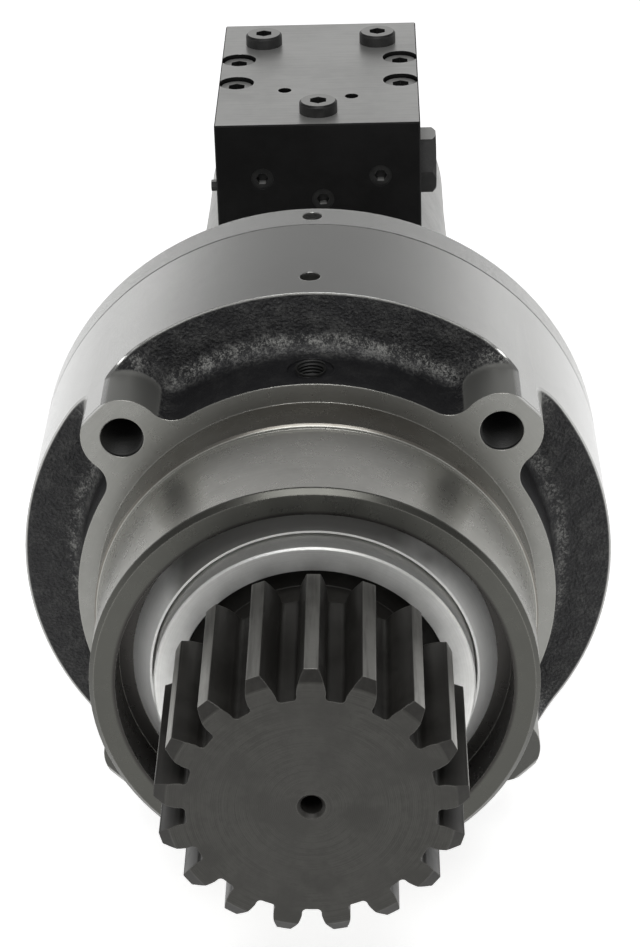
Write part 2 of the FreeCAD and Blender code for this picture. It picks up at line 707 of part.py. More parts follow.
def carrier_snap_ring():
    """Ring in the shaft's groove that keeps the carrier on."""
    ring = tube(TAIL_R + 3, TAIL_R - 3.9, CARRIER2_BACK - 3.0, CARRIER2_BACK - 1.4)
    gap = Part.makeBox(9, 4, 12, V(-4.5, CARRIER2_BACK - 4, TAIL_R - 6))
    return ring.cut(gap)


def headed_pins(radius, centre, front, planet_back, bush_wall):
    """Planet pins with a head that keeps the planet on, a group of separate solids."""
    head_front = planet_back + AIR
    head_r = radius + bush_wall + PIN_HEAD_LIP
    pin = rod(radius, front, head_front, 0, centre)
    head = rod(head_r, head_front, head_front + PIN_HEAD_W, 0, centre)
    return Part.makeCompound(around(pin.fuse(head).removeSplitter(), PLANETS))


def bushes(radius, wall, centre, front, back):
    """Needle bushes on the pins, a group of separate solids."""
    outer = rod(radius + wall, front, back, 0, centre)
    return Part.makeCompound(around(outer.cut(rod(radius, front, back, 0, centre)), PLANETS))


def planet(teeth, centre, place, front, back, bore):
    """One planet gear in mesh with the ring gear."""
    angle = place * 360.0 / PLANETS
    phase = planet_phase(teeth, angle)
    body = gear(teeth, TRAIN_MODULE, front, back, phase=phase)
    body = body.cut(rod(bore + RUN, front - 1, back + 1))
    body.translate(at(angle, centre, 0))
    return body


def ring_gear():
    """Internal gear pressed into the housing, reaching into the casing flange."""
    outline = gear_outline(RING_TEETH, TRAIN_MODULE, RING_FRONT, inside=True)
    hole = Part.Face(outline).extrude(V(0, RING_REAR - RING_FRONT, 0))
    return rod(RING_R, RING_FRONT, RING_REAR).cut(hole)


def second_sun():
    """Sun gear with the shank that the first carrier sits on."""
    teeth = gear(SUN2_TEETH, TRAIN_MODULE, CARRIER2_BACK + AIR, CARRIER1_FRONT,
                 phase=sun_phase(SUN2_TEETH, PLANET2_TEETH))
    return teeth.fuse(rod(SUN_SHANK_R, CARRIER1_FRONT, CARRIER1_BACK)).removeSplitter()


def first_carrier():
    body = tube(CARRIER1_R, SUN_SHANK_R, CARRIER1_FRONT, CARRIER1_BACK)
    pins = around(rod(PIN1_R, CARRIER1_FRONT - 1, CARRIER1_BACK + 1, 0, CENTRE1), PLANETS)
    window = rod(WINDOW_R, CARRIER1_FRONT - 1, CARRIER1_BACK + 1, 0, WINDOW_PCD_R)
    return body.cut(pins + around(window, PLANETS, 180.0 / PLANETS))


def first_sun():
    teeth = gear(SUN1_TEETH, TRAIN_MODULE, PLANET1_FRONT + 0.2, PLANET1_BACK + 1.5,
                 phase=sun_phase(SUN1_TEETH, PLANET1_TEETH))
    return teeth.cut(rod(SHAFT_TIP_R, CARRIER1_BACK - 1, PIN1_BACK + 5))


# Motor casing
def brake_casing():
    """Casting with the wide flange that closes the gearbox and the brake's bore."""
    c = SEAM_CHAMFER
    body = turned([
        (RING_R + RUN, JOINT_Y), (RIM_R - c, JOINT_Y), (RIM_R, JOINT_Y + c),
        (RIM_R, FLANGE_BACK - 2.5), (RIM_R - 2.5, FLANGE_BACK), (BARREL_R + 14, FLANGE_BACK),
        (BARREL_R + 4, FLANGE_BACK + 4), (BARREL_R, FLANGE_BACK + 14), (BARREL_R, CASING_END),
        (BRAKE_WIDE_R, CASING_END), (BRAKE_WIDE_R, BRAKE_STEP_Y), (BRAKE_R, BRAKE_STEP_Y),
        (BRAKE_R, FRONT_RACE_BACK), (SHAFT_RACE_R, FRONT_RACE_BACK), (SHAFT_RACE_R, FRONT_RACE_Y),
        (SHAFT_SEAL_R, FRONT_RACE_Y), (SHAFT_SEAL_R, WEB_FRONT + 2), (SHAFT_R + 3, WEB_FRONT + 2),
        (SHAFT_R + 3, WEB_FRONT), (RING_R + RUN, WEB_FRONT),
    ])
    tools = joint_screw_holes()
    tools.append(grub_hole(COVER_GRUB_Y, RIM_R))
    return body.cut(tools)


def joint_screws():
    """Socket head cap screws, a group of separate solids."""
    seat = FLANGE_BACK - JOINT_SINK_DEPTH
    shank = rod(JOINT_SCREW_R, JOINT_Y - JOINT_SCREW_DEPTH, seat, 0, JOINT_SCREW_PCD_R)
    head = rod(JOINT_HEAD_R, seat, seat + JOINT_HEAD_H, 0, JOINT_SCREW_PCD_R)
    middle = at(0, JOINT_SCREW_PCD_R, seat + JOINT_HEAD_H / 2)
    socket = hexagon(JOINT_HEAD_R, JOINT_HEAD_H, middle, V(0, 1, 0))
    screw = shank.fuse(head).removeSplitter().cut(socket)
    return Part.makeCompound(around(screw, JOINT_SCREWS, 180.0 / JOINT_SCREWS))


def shaft_race(front, inner):
    """Inner or outer ring of a cylindrical roller bearing; the outer one has the lips."""
    mean = (SHAFT_RACE_R + SHAFT_SEAT_R) / 2
    back = front + SHAFT_BEARING_W
    if inner:
        return tube(mean - SHAFT_ROLLER_R, SHAFT_SEAT_R, front, back)
    track = mean + SHAFT_ROLLER_R + RUN
    lip = track - RACE_LIP
    return turned([
        (SHAFT_RACE_R, front), (SHAFT_RACE_R, back), (lip, back), (lip, back - RACE_LIP),
        (track, back - RACE_LIP), (track, front + RACE_LIP), (lip, front + RACE_LIP), (lip, front),
    ])


def shaft_rollers(front):
    """Rollers of one shaft bearing, a group of separate solids."""
    mean = (SHAFT_RACE_R + SHAFT_SEAT_R) / 2
    inset = RACE_LIP + RUN
    roller = rod(SHAFT_ROLLER_R, front + inset, front + SHAFT_BEARING_W - inset, 0, mean)
    return Part.makeCompound(around(roller, SHAFT_ROLLERS))


def motor_shaft():
    """Shaft from the first sun through the brake and the cylinder block to the end cover."""
    hub_front, hub_back = STACK_FRONT, PISTON_FRONT - 1.0
    return turned([
        (0, PLANET1_FRONT + 0.2), (SHAFT_TIP_R, PLANET1_FRONT + 0.2), (SHAFT_TIP_R, PIN1_BACK + 0.5),
        (SHAFT_R, PIN1_BACK + 0.5), (SHAFT_R, FRONT_RACE_Y), (SHAFT_SEAT_R, FRONT_RACE_Y),
        (SHAFT_SEAT_R, FRONT_RACE_BACK), (BRAKE_HUB_R, FRONT_RACE_BACK), (BRAKE_HUB_R, hub_back),
        (SHAFT_R + 2, hub_back), (SHAFT_R + 2, MAIN_FRONT), (SHAFT_SEAT_R, MAIN_FRONT),
        (SHAFT_SEAT_R, MAIN_BACK), (SHAFT_R, MAIN_BACK), (SHAFT_R, VALVE_FRONT - 1),
        (SHAFT_REAR_R, VALVE_FRONT - 1), (SHAFT_REAR_R, SHAFT_END), (0, SHAFT_END),
    ])


def shaft_seal():
    front = WEB_FRONT + 2
    return turned([
        (SHAFT_R + RUN, front + 2), (SHAFT_SEAL_R, front), (SHAFT_SEAL_R, front + SHAFT_SEAL_W),
        (SHAFT_R + RUN, front + 3),
    ])


# Parking brake
def brake_plates():
    """Steel plates keyed in the casing, a group of separate solids."""
    plates = []
    for i in range(DISC_COUNT + 1):
        front = STACK_FRONT + i * PITCH_STEP
        plates.append(tube(BRAKE_R, PLATE_IN_R, front, front + DISC_W))
    return Part.makeCompound(plates)


def brake_discs():
    """Friction discs on the shaft's hub, a group of separate solids."""
    discs = []
    for i in range(DISC_COUNT):
        front = STACK_FRONT + i * PITCH_STEP + DISC_W + 0.1
        discs.append(tube(DISC_R, BRAKE_HUB_R, front, front + DISC_W))
    return Part.makeCompound(discs)


def brake_piston():
    """Stepped ring that clamps the stack and moves back when oil enters at its step."""
    step = BRAKE_STEP_Y + 2 * BRAKE_TRAVEL
    return turned([
        (PLATE_IN_R, PISTON_FRONT), (BRAKE_R - RUN, PISTON_FRONT), (BRAKE_R - RUN, step),
        (BRAKE_WIDE_R - RUN, step), (BRAKE_WIDE_R - RUN, PISTON_BACK),
        (PLATE_IN_R, PISTON_BACK),
    ])


def brake_springs():
    """Disc springs set mouth to mouth between piston and casing, a group of separate solids."""
    springs = []
    rise = SPRING_SPACE / SPRING_COUNT - SPRING_W
    for i in range(SPRING_COUNT):
        y = PISTON_BACK + i * SPRING_SPACE / SPRING_COUNT
        wide, tight = BRAKE_WIDE_R - 2.0, PLATE_IN_R + 2.0
        lift_in, lift_out = (rise, 0) if i % 2 == 0 else (0, rise)
        springs.append(turned([
            (tight, y + lift_in), (wide, y + lift_out), (wide, y + lift_out + SPRING_W),
            (tight, y + lift_in + SPRING_W),
        ]))
    return Part.makeCompound(springs)


# Piston motor
def main_casing():
    """Barrel with the pad for the valve block and a spigot into the brake casing."""
    barrel = turned([
        (SHAFT_RACE_R - 6, CASING_END - CASING_LIP), (BRAKE_WIDE_R, CASING_END - CASING_LIP),
        (BRAKE_WIDE_R, CASING_END), (BARREL_R, CASING_END), (BARREL_END_R, MOTOR_END),
        (0, MOTOR_END), (0, CASING_END), (SHAFT_RACE_R - 6, CASING_END),
    ])
    pad = Part.makeBox(2 * PAD_HALF, VB_BACK - PAD_FRONT, VB_BOTTOM, V(-PAD_HALF, PAD_FRONT, 0))
    body = barrel.fuse(pad).removeSplitter()
    hollow = turned([
        (0, CASING_END - CASING_LIP - 1), (SHAFT_RACE_R - 6, CASING_END - CASING_LIP - 1),
        (SHAFT_RACE_R - 6, MAIN_FRONT), (SHAFT_RACE_R, MAIN_FRONT), (SHAFT_RACE_R, MAIN_BACK),
        (SHAFT_RACE_R - 4, MAIN_BACK), (SHAFT_RACE_R - 4, SWASH_BACK), (MOTOR_BORE_R, SWASH_BACK),
        (MOTOR_BORE_R, MOTOR_END + 1), (0, MOTOR_END + 1),
    ])
    seat = Part.makeBox(4 * PAD_HALF, VB_LEN + 3, BARREL_R, V(-2 * PAD_HALF, VB_FRONT - 1.5, VB_BOTTOM))
    tools = [hollow, seat]
    tapped = rod(COVER_SCREW_R, MOTOR_END - COVER_SCREW_DEPTH, MOTOR_END + 1, 0, COVER_SCREW_PCD_R)
    tools += around(tapped, COVER_SCREWS, COVER_SCREW_START)
    tools += block_screw_holes()
    drain = V(-BARREL_R - 1, DRAIN_PORT_Y, 0)
    tools.append(Part.makeCylinder(DRAIN_PORT_R, DRAIN_PORT_DEPTH, drain, V(1, 0, 0)))
    return body.cut(tools)


def swash_plate():
    """Fixed wedge that the pistons work against."""
    high = SWASH_MID + MOTOR_BORE_R * math.tan(math.radians(SWASH_TILT)) + 5
    blank = tube(MOTOR_BORE_R, SHAFT_RACE_R - SWASH_LAP, SWASH_BACK, SWASH_BACK + high)
    reach = 3 * MOTOR_BORE_R
    cutter = Part.makeBox(2 * reach, reach, 2 * reach, V(-reach, 0, -reach))
    cutter.rotate(V(0, 0, 0), V(1, 0, 0), SWASH_TILT)
    cutter.translate(V(0, SWASH_BACK + SWASH_MID, 0))
    return blank.cut(cutter)


def cylinder_block():
    body = tube(BLOCK_R, SHAFT_R, BLOCK_FRONT, BLOCK_BACK)
    floor = BLOCK_BACK - BLOCK_FLOOR
    bore = rod(PISTON_R + FIT, BLOCK_FRONT - 1, floor, 0, PISTON_PCD_R)
    outlet = rod(PISTON_R - 3, floor - 1, BLOCK_BACK + 1, 0, PISTON_PCD_R)
    return body.cut(around(bore, PISTON_COUNT) + around(outlet, PISTON_COUNT))


def pistons():
    """Pistons with their shoes, a group of separate solids."""
    top = SWASH_BACK + SWASH_MID + MOTOR_BORE_R * math.tan(math.radians(SWASH_TILT)) + AIR
    end = BLOCK_BACK - PISTON_SHORT
    stem = rod(PISTON_R, top + SHOE_W, end, 0, PISTON_PCD_R)
    shoe = rod(SHOE_R, top, top + SHOE_W, 0, PISTON_PCD_R)
    hollow = rod(PISTON_R - 3, end - PISTON_HOLLOW, end + 1, 0, PISTON_PCD_R)
    piston = stem.fuse(shoe).removeSplitter().cut(hollow)
    return Part.makeCompound(around(piston, PISTON_COUNT))


def valve_plate():
    """Port plate with two kidney slots, held in the end cover."""
    plate = tube(VALVE_PLATE_R, SHAFT_REAR_R + 5, VALVE_FRONT, MOTOR_END)
    half = KIDNEY_W / 2
    slot = tube(PISTON_PCD_R + half, PISTON_PCD_R - half, VALVE_FRONT - 1, MOTOR_END + 1)
    bridge = Part.makeBox(KIDNEY_BRIDGE, VALVE_PLATE_W + 4, 2 * VALVE_PLATE_R,
                          V(-KIDNEY_BRIDGE / 2, VALVE_FRONT - 2, -VALVE_PLATE_R))
    return plate.cut(slot.cut(bridge))


def end_cover():
    """Rear cap with the rear bearing's seat and a rounded back edge."""
    c = COVER_CHAMFER
    body = turned([
        (0, MOTOR_END), (BARREL_END_R, MOTOR_END), (BARREL_END_R, COVER_END - c),
        (BARREL_END_R - c, COVER_END), (0, COVER_END),
    ])
    tools = [rod(REAR_RACE_R, MOTOR_END - 1, SHAFT_END - 4)]
    tools.append(rod(SHAFT_REAR_R + 2, MOTOR_END - 1, SHAFT_END + 2))
    hole = rod(COVER_SCREW_R, MOTOR_END - 1, COVER_END + 1, 0, COVER_SCREW_PCD_R)
    sink = rod(COVER_HEAD_R + 0.5, COVER_END - COVER_HEAD_SUNK, COVER_END + 1, 0, COVER_SCREW_PCD_R)
    tools += around(hole.fuse(sink), COVER_SCREWS, COVER_SCREW_START)
    return body.cut(tools)


def rear_bearing():
    """Needle bearing ring in the end cover."""
    return tube(REAR_RACE_R, SHAFT_REAR_R + RUN, MOTOR_END + 2, SHAFT_END - 4)


def cover_screws():
    """Cap screws of the end cover, a group of separate solids."""
    head_base = COVER_END - COVER_HEAD_SUNK
    shank = rod(COVER_SCREW_R, MOTOR_END - COVER_SCREW_DEPTH, head_base, 0, COVER_SCREW_PCD_R)
    head = rod(COVER_HEAD_R, head_base, head_base + COVER_HEAD_H, 0, COVER_SCREW_PCD_R)
    middle = at(0, COVER_SCREW_PCD_R, head_base + COVER_HEAD_H / 2)
    socket = hexagon(COVER_HEAD_R, COVER_HEAD_H, middle, V(0, 1, 0))
    screw = shank.fuse(head).removeSplitter().cut(socket)
    return Part.makeCompound(around(screw, COVER_SCREWS, COVER_SCREW_START))


# Valve block
def behind_front(places):
    """Places on the block as (x, y) in the shaft's frame."""
    return [(x, VB_FRONT + y) for x, y in places]


def upright(radius, x, y, bottom, top):
    """Cylinder along +Z."""
    return Part.makeCylinder(radius, top - bottom, V(x, y, bottom), V(0, 0, 1))


def block_screw_places():
    return behind_front([(side * VB_SCREW_X, y) for side in (-1, 1) for y in VB_SCREW_ROWS])


def block_screw_holes():
    tip = VB_BOTTOM - VB_SCREW_REACH
    return [upright(VB_SCREW_R, x, y, tip, VB_TOP + 1) for x, y in block_screw_places()]


def valve_block():
    """Steel block with its counterbores, plug seats and work ports."""
    body = Part.makeBox(2 * VB_HALF, VB_LEN, VB_TOP - VB_BOTTOM, V(-VB_HALF, VB_FRONT, VB_BOTTOM))
    body = body.makeChamfer(VB_CHAMFER, body.Edges)
    tools = block_screw_holes()
    sunk = [(VB_SINK_R, VB_SINK_DEPTH, block_screw_places())]
    sunk.append((TOP_PLUG_STEM_R, TOP_PLUG_STEM, behind_front(TOP_PLUGS)))
    sunk.append((SMALL_HOLE_R, SMALL_HOLE_DEPTH, behind_front(SMALL_HOLES)))
    for radius, depth, places in sunk:
        tools += [upright(radius, x, y, VB_TOP - depth, VB_TOP + 1) for x, y in places]
    tools += [Part.makeCylinder(FRONT_PLUG_R, FRONT_PLUG_LEN + 1, V(x, VB_FRONT - 1, z), V(0, 1, 0))
              for x, z in FRONT_PLUGS]
    tools.append(Part.makeCylinder(CAP_STEM_R, CAP_STEM + 1, V(VB_HALF - CAP_STEM, CAP_Y, CAP_Z), V(1, 0, 0)))
    nipple = V(-VB_HALF - 1, NIPPLE_Y, NIPPLE_Z)
    tools.append(Part.makeCylinder(NIPPLE_R, NIPPLE_STEM + 1, nipple, V(1, 0, 0)))
    for side in (-1, 1):
        floor = V(side * WORK_PORT_X, VB_BACK - WORK_PORT_DEPTH, WORK_PORT_Z)
        tools.append(Part.makeCylinder(WORK_PORT_R, WORK_PORT_DEPTH + 1, floor, V(0, 1, 0)))
    return body.cut(tools)


def block_screws():
    """Cap screws of the valve block, a group of separate solids."""
    screws = []
    seat = VB_TOP - VB_SINK_DEPTH
    for x, y in block_screw_places():
        shank = upright(VB_SCREW_R, x, y, VB_BOTTOM - VB_SCREW_REACH, seat)
        head = upright(VB_HEAD_R, x, y, seat, seat + VB_HEAD_H)
        socket = hexagon(VB_HEAD_R, VB_HEAD_H, V(x, y, seat + VB_HEAD_H / 2), V(0, 0, 1))
        screws.append(shank.fuse(head).removeSplitter().cut(socket))
    return Part.makeCompound(screws)


def top_plugs():
    """Round socket plugs standing on the block, a group of separate solids."""
    plugs = []
    rim = VB_TOP + TOP_PLUG_H - 1
    for x, y in behind_front(TOP_PLUGS):
        stem = upright(TOP_PLUG_STEM_R, x, y, VB_TOP - TOP_PLUG_STEM, VB_TOP)
        head = upright(TOP_PLUG_R, x, y, VB_TOP, rim)
        crown = Part.makeCone(TOP_PLUG_R, TOP_PLUG_R - 1, 1, V(x, y, rim), V(0, 0, 1))
        socket = hexagon(TOP_PLUG_HEX, TOP_PLUG_H, V(x, y, VB_TOP + 1), V(0, 0, 1))
        plugs.append(stem.fuse([head, crown]).removeSplitter().cut(socket))
    return Part.makeCompound(plugs)


def front_plugs():
    """Flush socket plugs in the block's front face, a group of separate solids."""
    plugs = []
    for x, z in FRONT_PLUGS:
        face = V(x, VB_FRONT + FRONT_PLUG_SUNK, z)
        body = Part.makeCylinder(FRONT_PLUG_R, FRONT_PLUG_LEN - FRONT_PLUG_SUNK, face, V(0, 1, 0))
        plugs.append(body.cut(hexagon(FRONT_PLUG_R, FRONT_PLUG_LEN / 2, V(x, VB_FRONT, z), V(0, 1, 0))))
    return Part.makeCompound(plugs)


def relief_cap():
    """Hexagon cap of the relief valve on the block's right side."""
    x = VB_HALF
    stem = Part.makeCylinder(CAP_STEM_R, CAP_STEM, V(x - CAP_STEM, CAP_Y, CAP_Z), V(1, 0, 0))
    head = hexagon(CAP_AF, CAP_H, V(x, CAP_Y, CAP_Z), V(1, 0, 0))
    round_r = CAP_AF / math.sqrt(3)
    crown = Part.makeCone(round_r + CAP_H - 2, round_r - 2, CAP_H, V(x, CAP_Y, CAP_Z), V(1, 0, 0))
    return stem.fuse(head.common(crown)).removeSplitter()


def bleed_nipple():
    x = -VB_HALF
    stem = Part.makeCylinder(NIPPLE_R, NIPPLE_STEM, V(x, NIPPLE_Y, NIPPLE_Z), V(1, 0, 0))
    head = hexagon(NIPPLE_AF, NIPPLE_H, V(x, NIPPLE_Y, NIPPLE_Z), V(-1, 0, 0))
    return stem.fuse(head).removeSplitter()


def build():
    """All sub-parts by node name."""
    nodes = {
        "gear_housing": gear_housing(),
        "oil_seal": oil_seal(),
        "lower_bearing_cup": bearing_cup(LOWER_FRONT, False),
        "upper_bearing_cup": bearing_cup(UPPER_FRONT, True),
        "ring_gear": ring_gear(),
        "housing_grub_screw": grub_screw(HOUSING_GRUB_Y, RIM_R),
        "flange_grub_screw": grub_screw(COVER_GRUB_Y, RIM_R),
        "brake_casing": brake_casing(),
        "joint_screws": joint_screws(),
        "motor_shaft_seal": shaft_seal(),
        "front_bearing_race": shaft_race(FRONT_RACE_Y, False),
        "main_bearing_race": shaft_race(MAIN_FRONT, False),
        "rear_bearing": rear_bearing(),
        "brake_plates": brake_plates(),
        "brake_springs": brake_springs(),
        "main_casing": main_casing(),
        "swash_plate": swash_plate(),
        "valve_plate": valve_plate(),
        "end_cover": end_cover(),
        "end_cover_screws": cover_screws(),
        "valve_block": valve_block(),
        "valve_block_screws": block_screws(),
        "top_plugs": top_plugs(),
        "front_plugs": front_plugs(),
        "relief_valve_cap": relief_cap(),
        "bleed_nipple": bleed_nipple(),
        "pinion_shaft": pinion_shaft(),
        "seal_collar": seal_collar(),
        "lower_bearing_cone": bearing_cone(LOWER_FRONT, False),
        "lower_bearing_rollers": bearing_rollers(LOWER_FRONT, False),
        "bearing_spacer": tube(SPACER_R, JOURNAL_R, LOWER_BACK, UPPER_FRONT),
        "upper_bearing_cone": bearing_cone(UPPER_FRONT, True),
        "upper_bearing_rollers": bearing_rollers(UPPER_FRONT, True),
        "lock_washer": lock_washer(),
        "lock_nut": lock_nut(),
        "second_carrier": second_carrier(),
        "carrier_snap_ring": carrier_snap_ring(),
        "second_planet_pins": headed_pins(PIN2_R, CENTRE2, CARRIER2_FRONT + 4, PLANET2_BACK, BUSH2_WALL),
        "second_planet_bushes": bushes(PIN2_R, BUSH2_WALL, CENTRE2, PLANET2_FRONT, PLANET2_BACK),
        "second_sun_gear": second_sun(),
        "first_carrier": first_carrier(),
        "first_planet_pins": headed_pins(PIN1_R, CENTRE1, CARRIER1_FRONT, PLANET1_BACK, BUSH1_WALL),
        "first_planet_bushes": bushes(PIN1_R, BUSH1_WALL, CENTRE1, PLANET1_FRONT, PLANET1_BACK),
        "first_sun_gear": first_sun(),
        "motor_shaft": motor_shaft(),
        "front_bearing_inner": shaft_race(FRONT_RACE_Y, True),
        "front_bearing_rollers": shaft_rollers(FRONT_RACE_Y),
        "main_bearing_inner": shaft_race(MAIN_FRONT, True),
        "main_bearing_rollers": shaft_rollers(MAIN_FRONT),
        "brake_discs": brake_discs(),
        "brake_piston": brake_piston(),
        "cylinder_block": cylinder_block(),
        "pistons": pistons(),
    }
    for i in range(PLANETS):
        nodes["second_planet_%d" % (i + 1)] = planet(
            PLANET2_TEETH, CENTRE2, i, PLANET2_FRONT, PLANET2_BACK, PIN2_R + BUSH2_WALL)
        nodes["first_planet_%d" % (i + 1)] = planet(
            PLANET1_TEETH, CENTRE1, i, PLANET1_FRONT, PLANET1_BACK, PIN1_R + BUSH1_WALL)
    return nodes


os.makedirs("parts", exist_ok=True)
for name, shape in build().items():
    save(name, shape)
    print(name, len(shape.Solids), shape.isValid(), round(sum(s.Volume for s in shape.Solids)))
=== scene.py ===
import json
import math

import bmesh
import bpy
from bpy.props import FloatProperty, FloatVectorProperty, IntProperty, PointerProperty
from mathutils import Matrix, Vector


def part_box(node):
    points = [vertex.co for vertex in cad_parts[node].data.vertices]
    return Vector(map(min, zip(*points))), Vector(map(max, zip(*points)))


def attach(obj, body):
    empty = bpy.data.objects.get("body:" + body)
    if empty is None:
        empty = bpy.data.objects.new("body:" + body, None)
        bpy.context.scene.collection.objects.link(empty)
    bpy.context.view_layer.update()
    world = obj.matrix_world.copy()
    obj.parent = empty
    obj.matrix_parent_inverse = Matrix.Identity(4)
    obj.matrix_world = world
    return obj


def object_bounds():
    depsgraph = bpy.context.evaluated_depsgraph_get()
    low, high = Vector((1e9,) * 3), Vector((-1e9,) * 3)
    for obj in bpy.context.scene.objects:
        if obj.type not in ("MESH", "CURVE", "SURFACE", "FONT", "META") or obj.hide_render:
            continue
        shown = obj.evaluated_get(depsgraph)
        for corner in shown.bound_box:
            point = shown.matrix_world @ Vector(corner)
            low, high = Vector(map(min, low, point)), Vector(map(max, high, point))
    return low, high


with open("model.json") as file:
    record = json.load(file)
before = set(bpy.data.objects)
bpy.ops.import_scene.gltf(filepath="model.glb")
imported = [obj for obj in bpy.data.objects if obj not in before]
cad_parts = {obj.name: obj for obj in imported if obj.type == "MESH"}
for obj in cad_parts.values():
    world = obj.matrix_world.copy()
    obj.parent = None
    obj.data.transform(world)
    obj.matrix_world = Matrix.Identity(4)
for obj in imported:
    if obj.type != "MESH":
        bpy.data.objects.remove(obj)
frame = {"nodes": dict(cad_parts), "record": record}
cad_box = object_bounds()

bl_info = {
    "name": "Swing Gearbox Looks",
    "version": (1, 0, 0),
    "blender": (4, 5, 0),
    "location": "3D View > Sidebar > Gearbox",
    "description": "Finishes, threads, cast skin and studio of a swing gearbox with its motor",
    "category": "Object",
}

# The shaft axis is +Y, the pinion points to -Y and +Z is up; lengths are metres.
MM = 0.001
MOUNTS = {mount["name"]: mount for mount in frame["record"]["mounts"]}
NODES = frame["nodes"]
HOUSING_LOW, HOUSING_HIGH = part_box("gear_housing")
RIM_R = HOUSING_HIGH.x
SPIGOT_FRONT = HOUSING_LOW.y
JOINT_Y = HOUSING_HIGH.y
PILOT_R = MOUNTS["pilot"]["dims"]["r_mm"] * MM
SHAFT_LOW, SHAFT_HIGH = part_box("pinion_shaft")
PINION_TIP_R = max(SHAFT_HIGH.x, SHAFT_HIGH.z)
PINION_FRONT = SHAFT_LOW.y
BLOCK_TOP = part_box("valve_block")[1].z

# Where one finish of the housing ends and the next begins
NECK_R = 103.5 * MM
POCKET_FLOOR_Y = 33.6 * MM
POCKET_FILLET = 10.0 * MM
EAR_PLACE = 79.9 * MM
EAR_R = 17.7 * MM
EAR_HOLE_R = 9.25 * MM
EAR_HOLE_DEPTH = 50.0 * MM
SPIGOT_WALL = 11.0 * MM
SPIGOT_EDGE = 2.7 * MM
# Where the painted highlight on the spigot's top starts and ends behind its front
SPIGOT_SHINE = (25.0 * MM, 75.0 * MM)
SEAM = 0.4 * MM
# Heights between which the flange's sides get painted shade, darker towards the bottom
SHADE_FROM = 30.0 * MM
SHADE_BELOW = 58.0 * MM

# How softly one finish passes into the next: distances from the edge of the first
RIM_FADE = (1.4 * MM, 0.4 * MM)
FLANGE_FADE = (4.0 * MM, 3.0 * MM)
EAR_FADE = (0.2 * MM, 1.0 * MM)
HOLE_FADE = (0.1 * MM, 0.3 * MM)
NECK_FADE = 0.5 * MM
SPIGOT_FADE = (6.0 * MM, 4.0 * MM)
PILOT_FADE = (0.9 * MM, 0.6 * MM)
BORE_FADE = 1.5 * MM
FRONT_FADE = (2.0 * MM, 1.0 * MM)

# The place the picture is taken from, in the object's own frame
CAMERA_PLACE = Vector((0.0314, -1.0488, 0.6257))
CAMERA_RIGHT = Vector((0.99955106, 0.01233003, -0.0273067))
CAMERA_UP = Vector((0.01819466, 0.47430215, 0.88017409))
CAMERA_LENS = 106.95
SENSOR = 36.0

# Studio
FLOOR_SIZE = 12.0
FLOOR_GAP = 0.2 * MM
SOFTBOX_PLACE = Vector((0.0, -0.75, 1.50))
SOFTBOX_TARGET = Vector((0.0, 0.05, 0.03))
SOFTBOX_SIZE = 1.2

# Fixed shades and roughness of the finishes
RIM_ROUGHNESS = (0.17, 0.22)
SEAM_BLACK = (0.01, 0.01, 0.01)
# Grime colour, also used for the painted shade low on the flange's sides
GRIME_AND_LOW_SHADE = (0.05, 0.05, 0.046)
# Painted shade in the ear holes, also the rubber's own black
HOLE_SHADE_AND_RUBBER_BLACK = (0.012, 0.012, 0.012)
RUBBER_DUST = (0.03, 0.03, 0.03)
PILOT_RUST = (0.12, 0.112, 0.098)
PILOT_RUST_DARK = (0.085, 0.068, 0.052)
# Painted shade for the spigot's recess
BORE_SHADE = (0.035, 0.033, 0.031)
WORN_IRON = (0.55, 0.54, 0.50)
CASING_SMUDGE = (0.12, 0.12, 0.11)
CASING_GRAIN = (0.7, 0.7, 0.68)
WORN_CASING = (0.62, 0.62, 0.60)
TOOTH_STREAK = (0.035, 0.033, 0.03)
END_FACE = (0.052, 0.051, 0.046)
END_SCUFF = (0.030, 0.029, 0.026)
PINION_SMUDGE = (0.075, 0.073, 0.068)
WORN_PINION = (0.24, 0.235, 0.22)
SEAL_SMUDGE = (0.70, 0.70, 0.68)
SEAL_TURNED = (0.5, 0.5, 0.48)
CUTTER_LINE = (0.32, 0.32, 0.31)
BLOCK_SMUDGE = (0.12, 0.12, 0.12)
WORN_BLOCK = (0.30, 0.30, 0.29)
BLACKENED = (0.03, 0.03, 0.03)


class CastingSettings(bpy.types.PropertyGroup):
    """Colours and grain of the castings."""

    rim_grey: FloatVectorProperty(
        name="Turned rim", description="Colour of the turned outside of housing and flange",
        subtype="COLOR", default=(0.42, 0.42, 0.41), min=0, max=1)
    face_grey: FloatVectorProperty(
        name="Flange face", description="Colour of the machined flange face and ears",
        subtype="COLOR", default=(0.25, 0.25, 0.235), min=0, max=1)
    spigot_grey: FloatVectorProperty(
        name="Spigot", description="Colour of the turned spigot and pilot",
        subtype="COLOR", default=(0.40, 0.395, 0.365), min=0, max=1)
    spigot_highlight: FloatVectorProperty(
        name="Highlit spigot", description="Colour of the spigot where it was wiped as_painted_light, at the top",
        subtype="COLOR", default=(0.80, 0.79, 0.75), min=0, max=1)
    ring_grey: FloatVectorProperty(
        name="Spigot end", description="Colour of the ring face at the spigot's end",
        subtype="COLOR", default=(0.080, 0.080, 0.072), min=0, max=1)
    ear_grey: FloatVectorProperty(
        name="Ear sides", description="Colour of the smooth sides of the ears",
        subtype="COLOR", default=(0.29, 0.29, 0.275), min=0, max=1)
    cast_dark: FloatVectorProperty(
        name="Cast skin", description="Colour of the rough skin in the pockets",
        subtype="COLOR", default=(0.006, 0.006, 0.007), min=0, max=1)
    cast_light: FloatVectorProperty(
        name="Cast grain tips", description="Colour of the worn tips of the cast grain",
        subtype="COLOR", default=(0.30, 0.30, 0.285), min=0, max=1)
    motor_grey: FloatVectorProperty(
        name="Motor casing", description="Colour of the motor's barrel and cover",
        subtype="COLOR", default=(0.52, 0.52, 0.51), min=0, max=1)
    grain: FloatProperty(
        name="Cast grain", description="Width of one grain of the cast skin",
        subtype="DISTANCE", default=1.3 * MM, min=0.2 * MM, max=6 * MM)


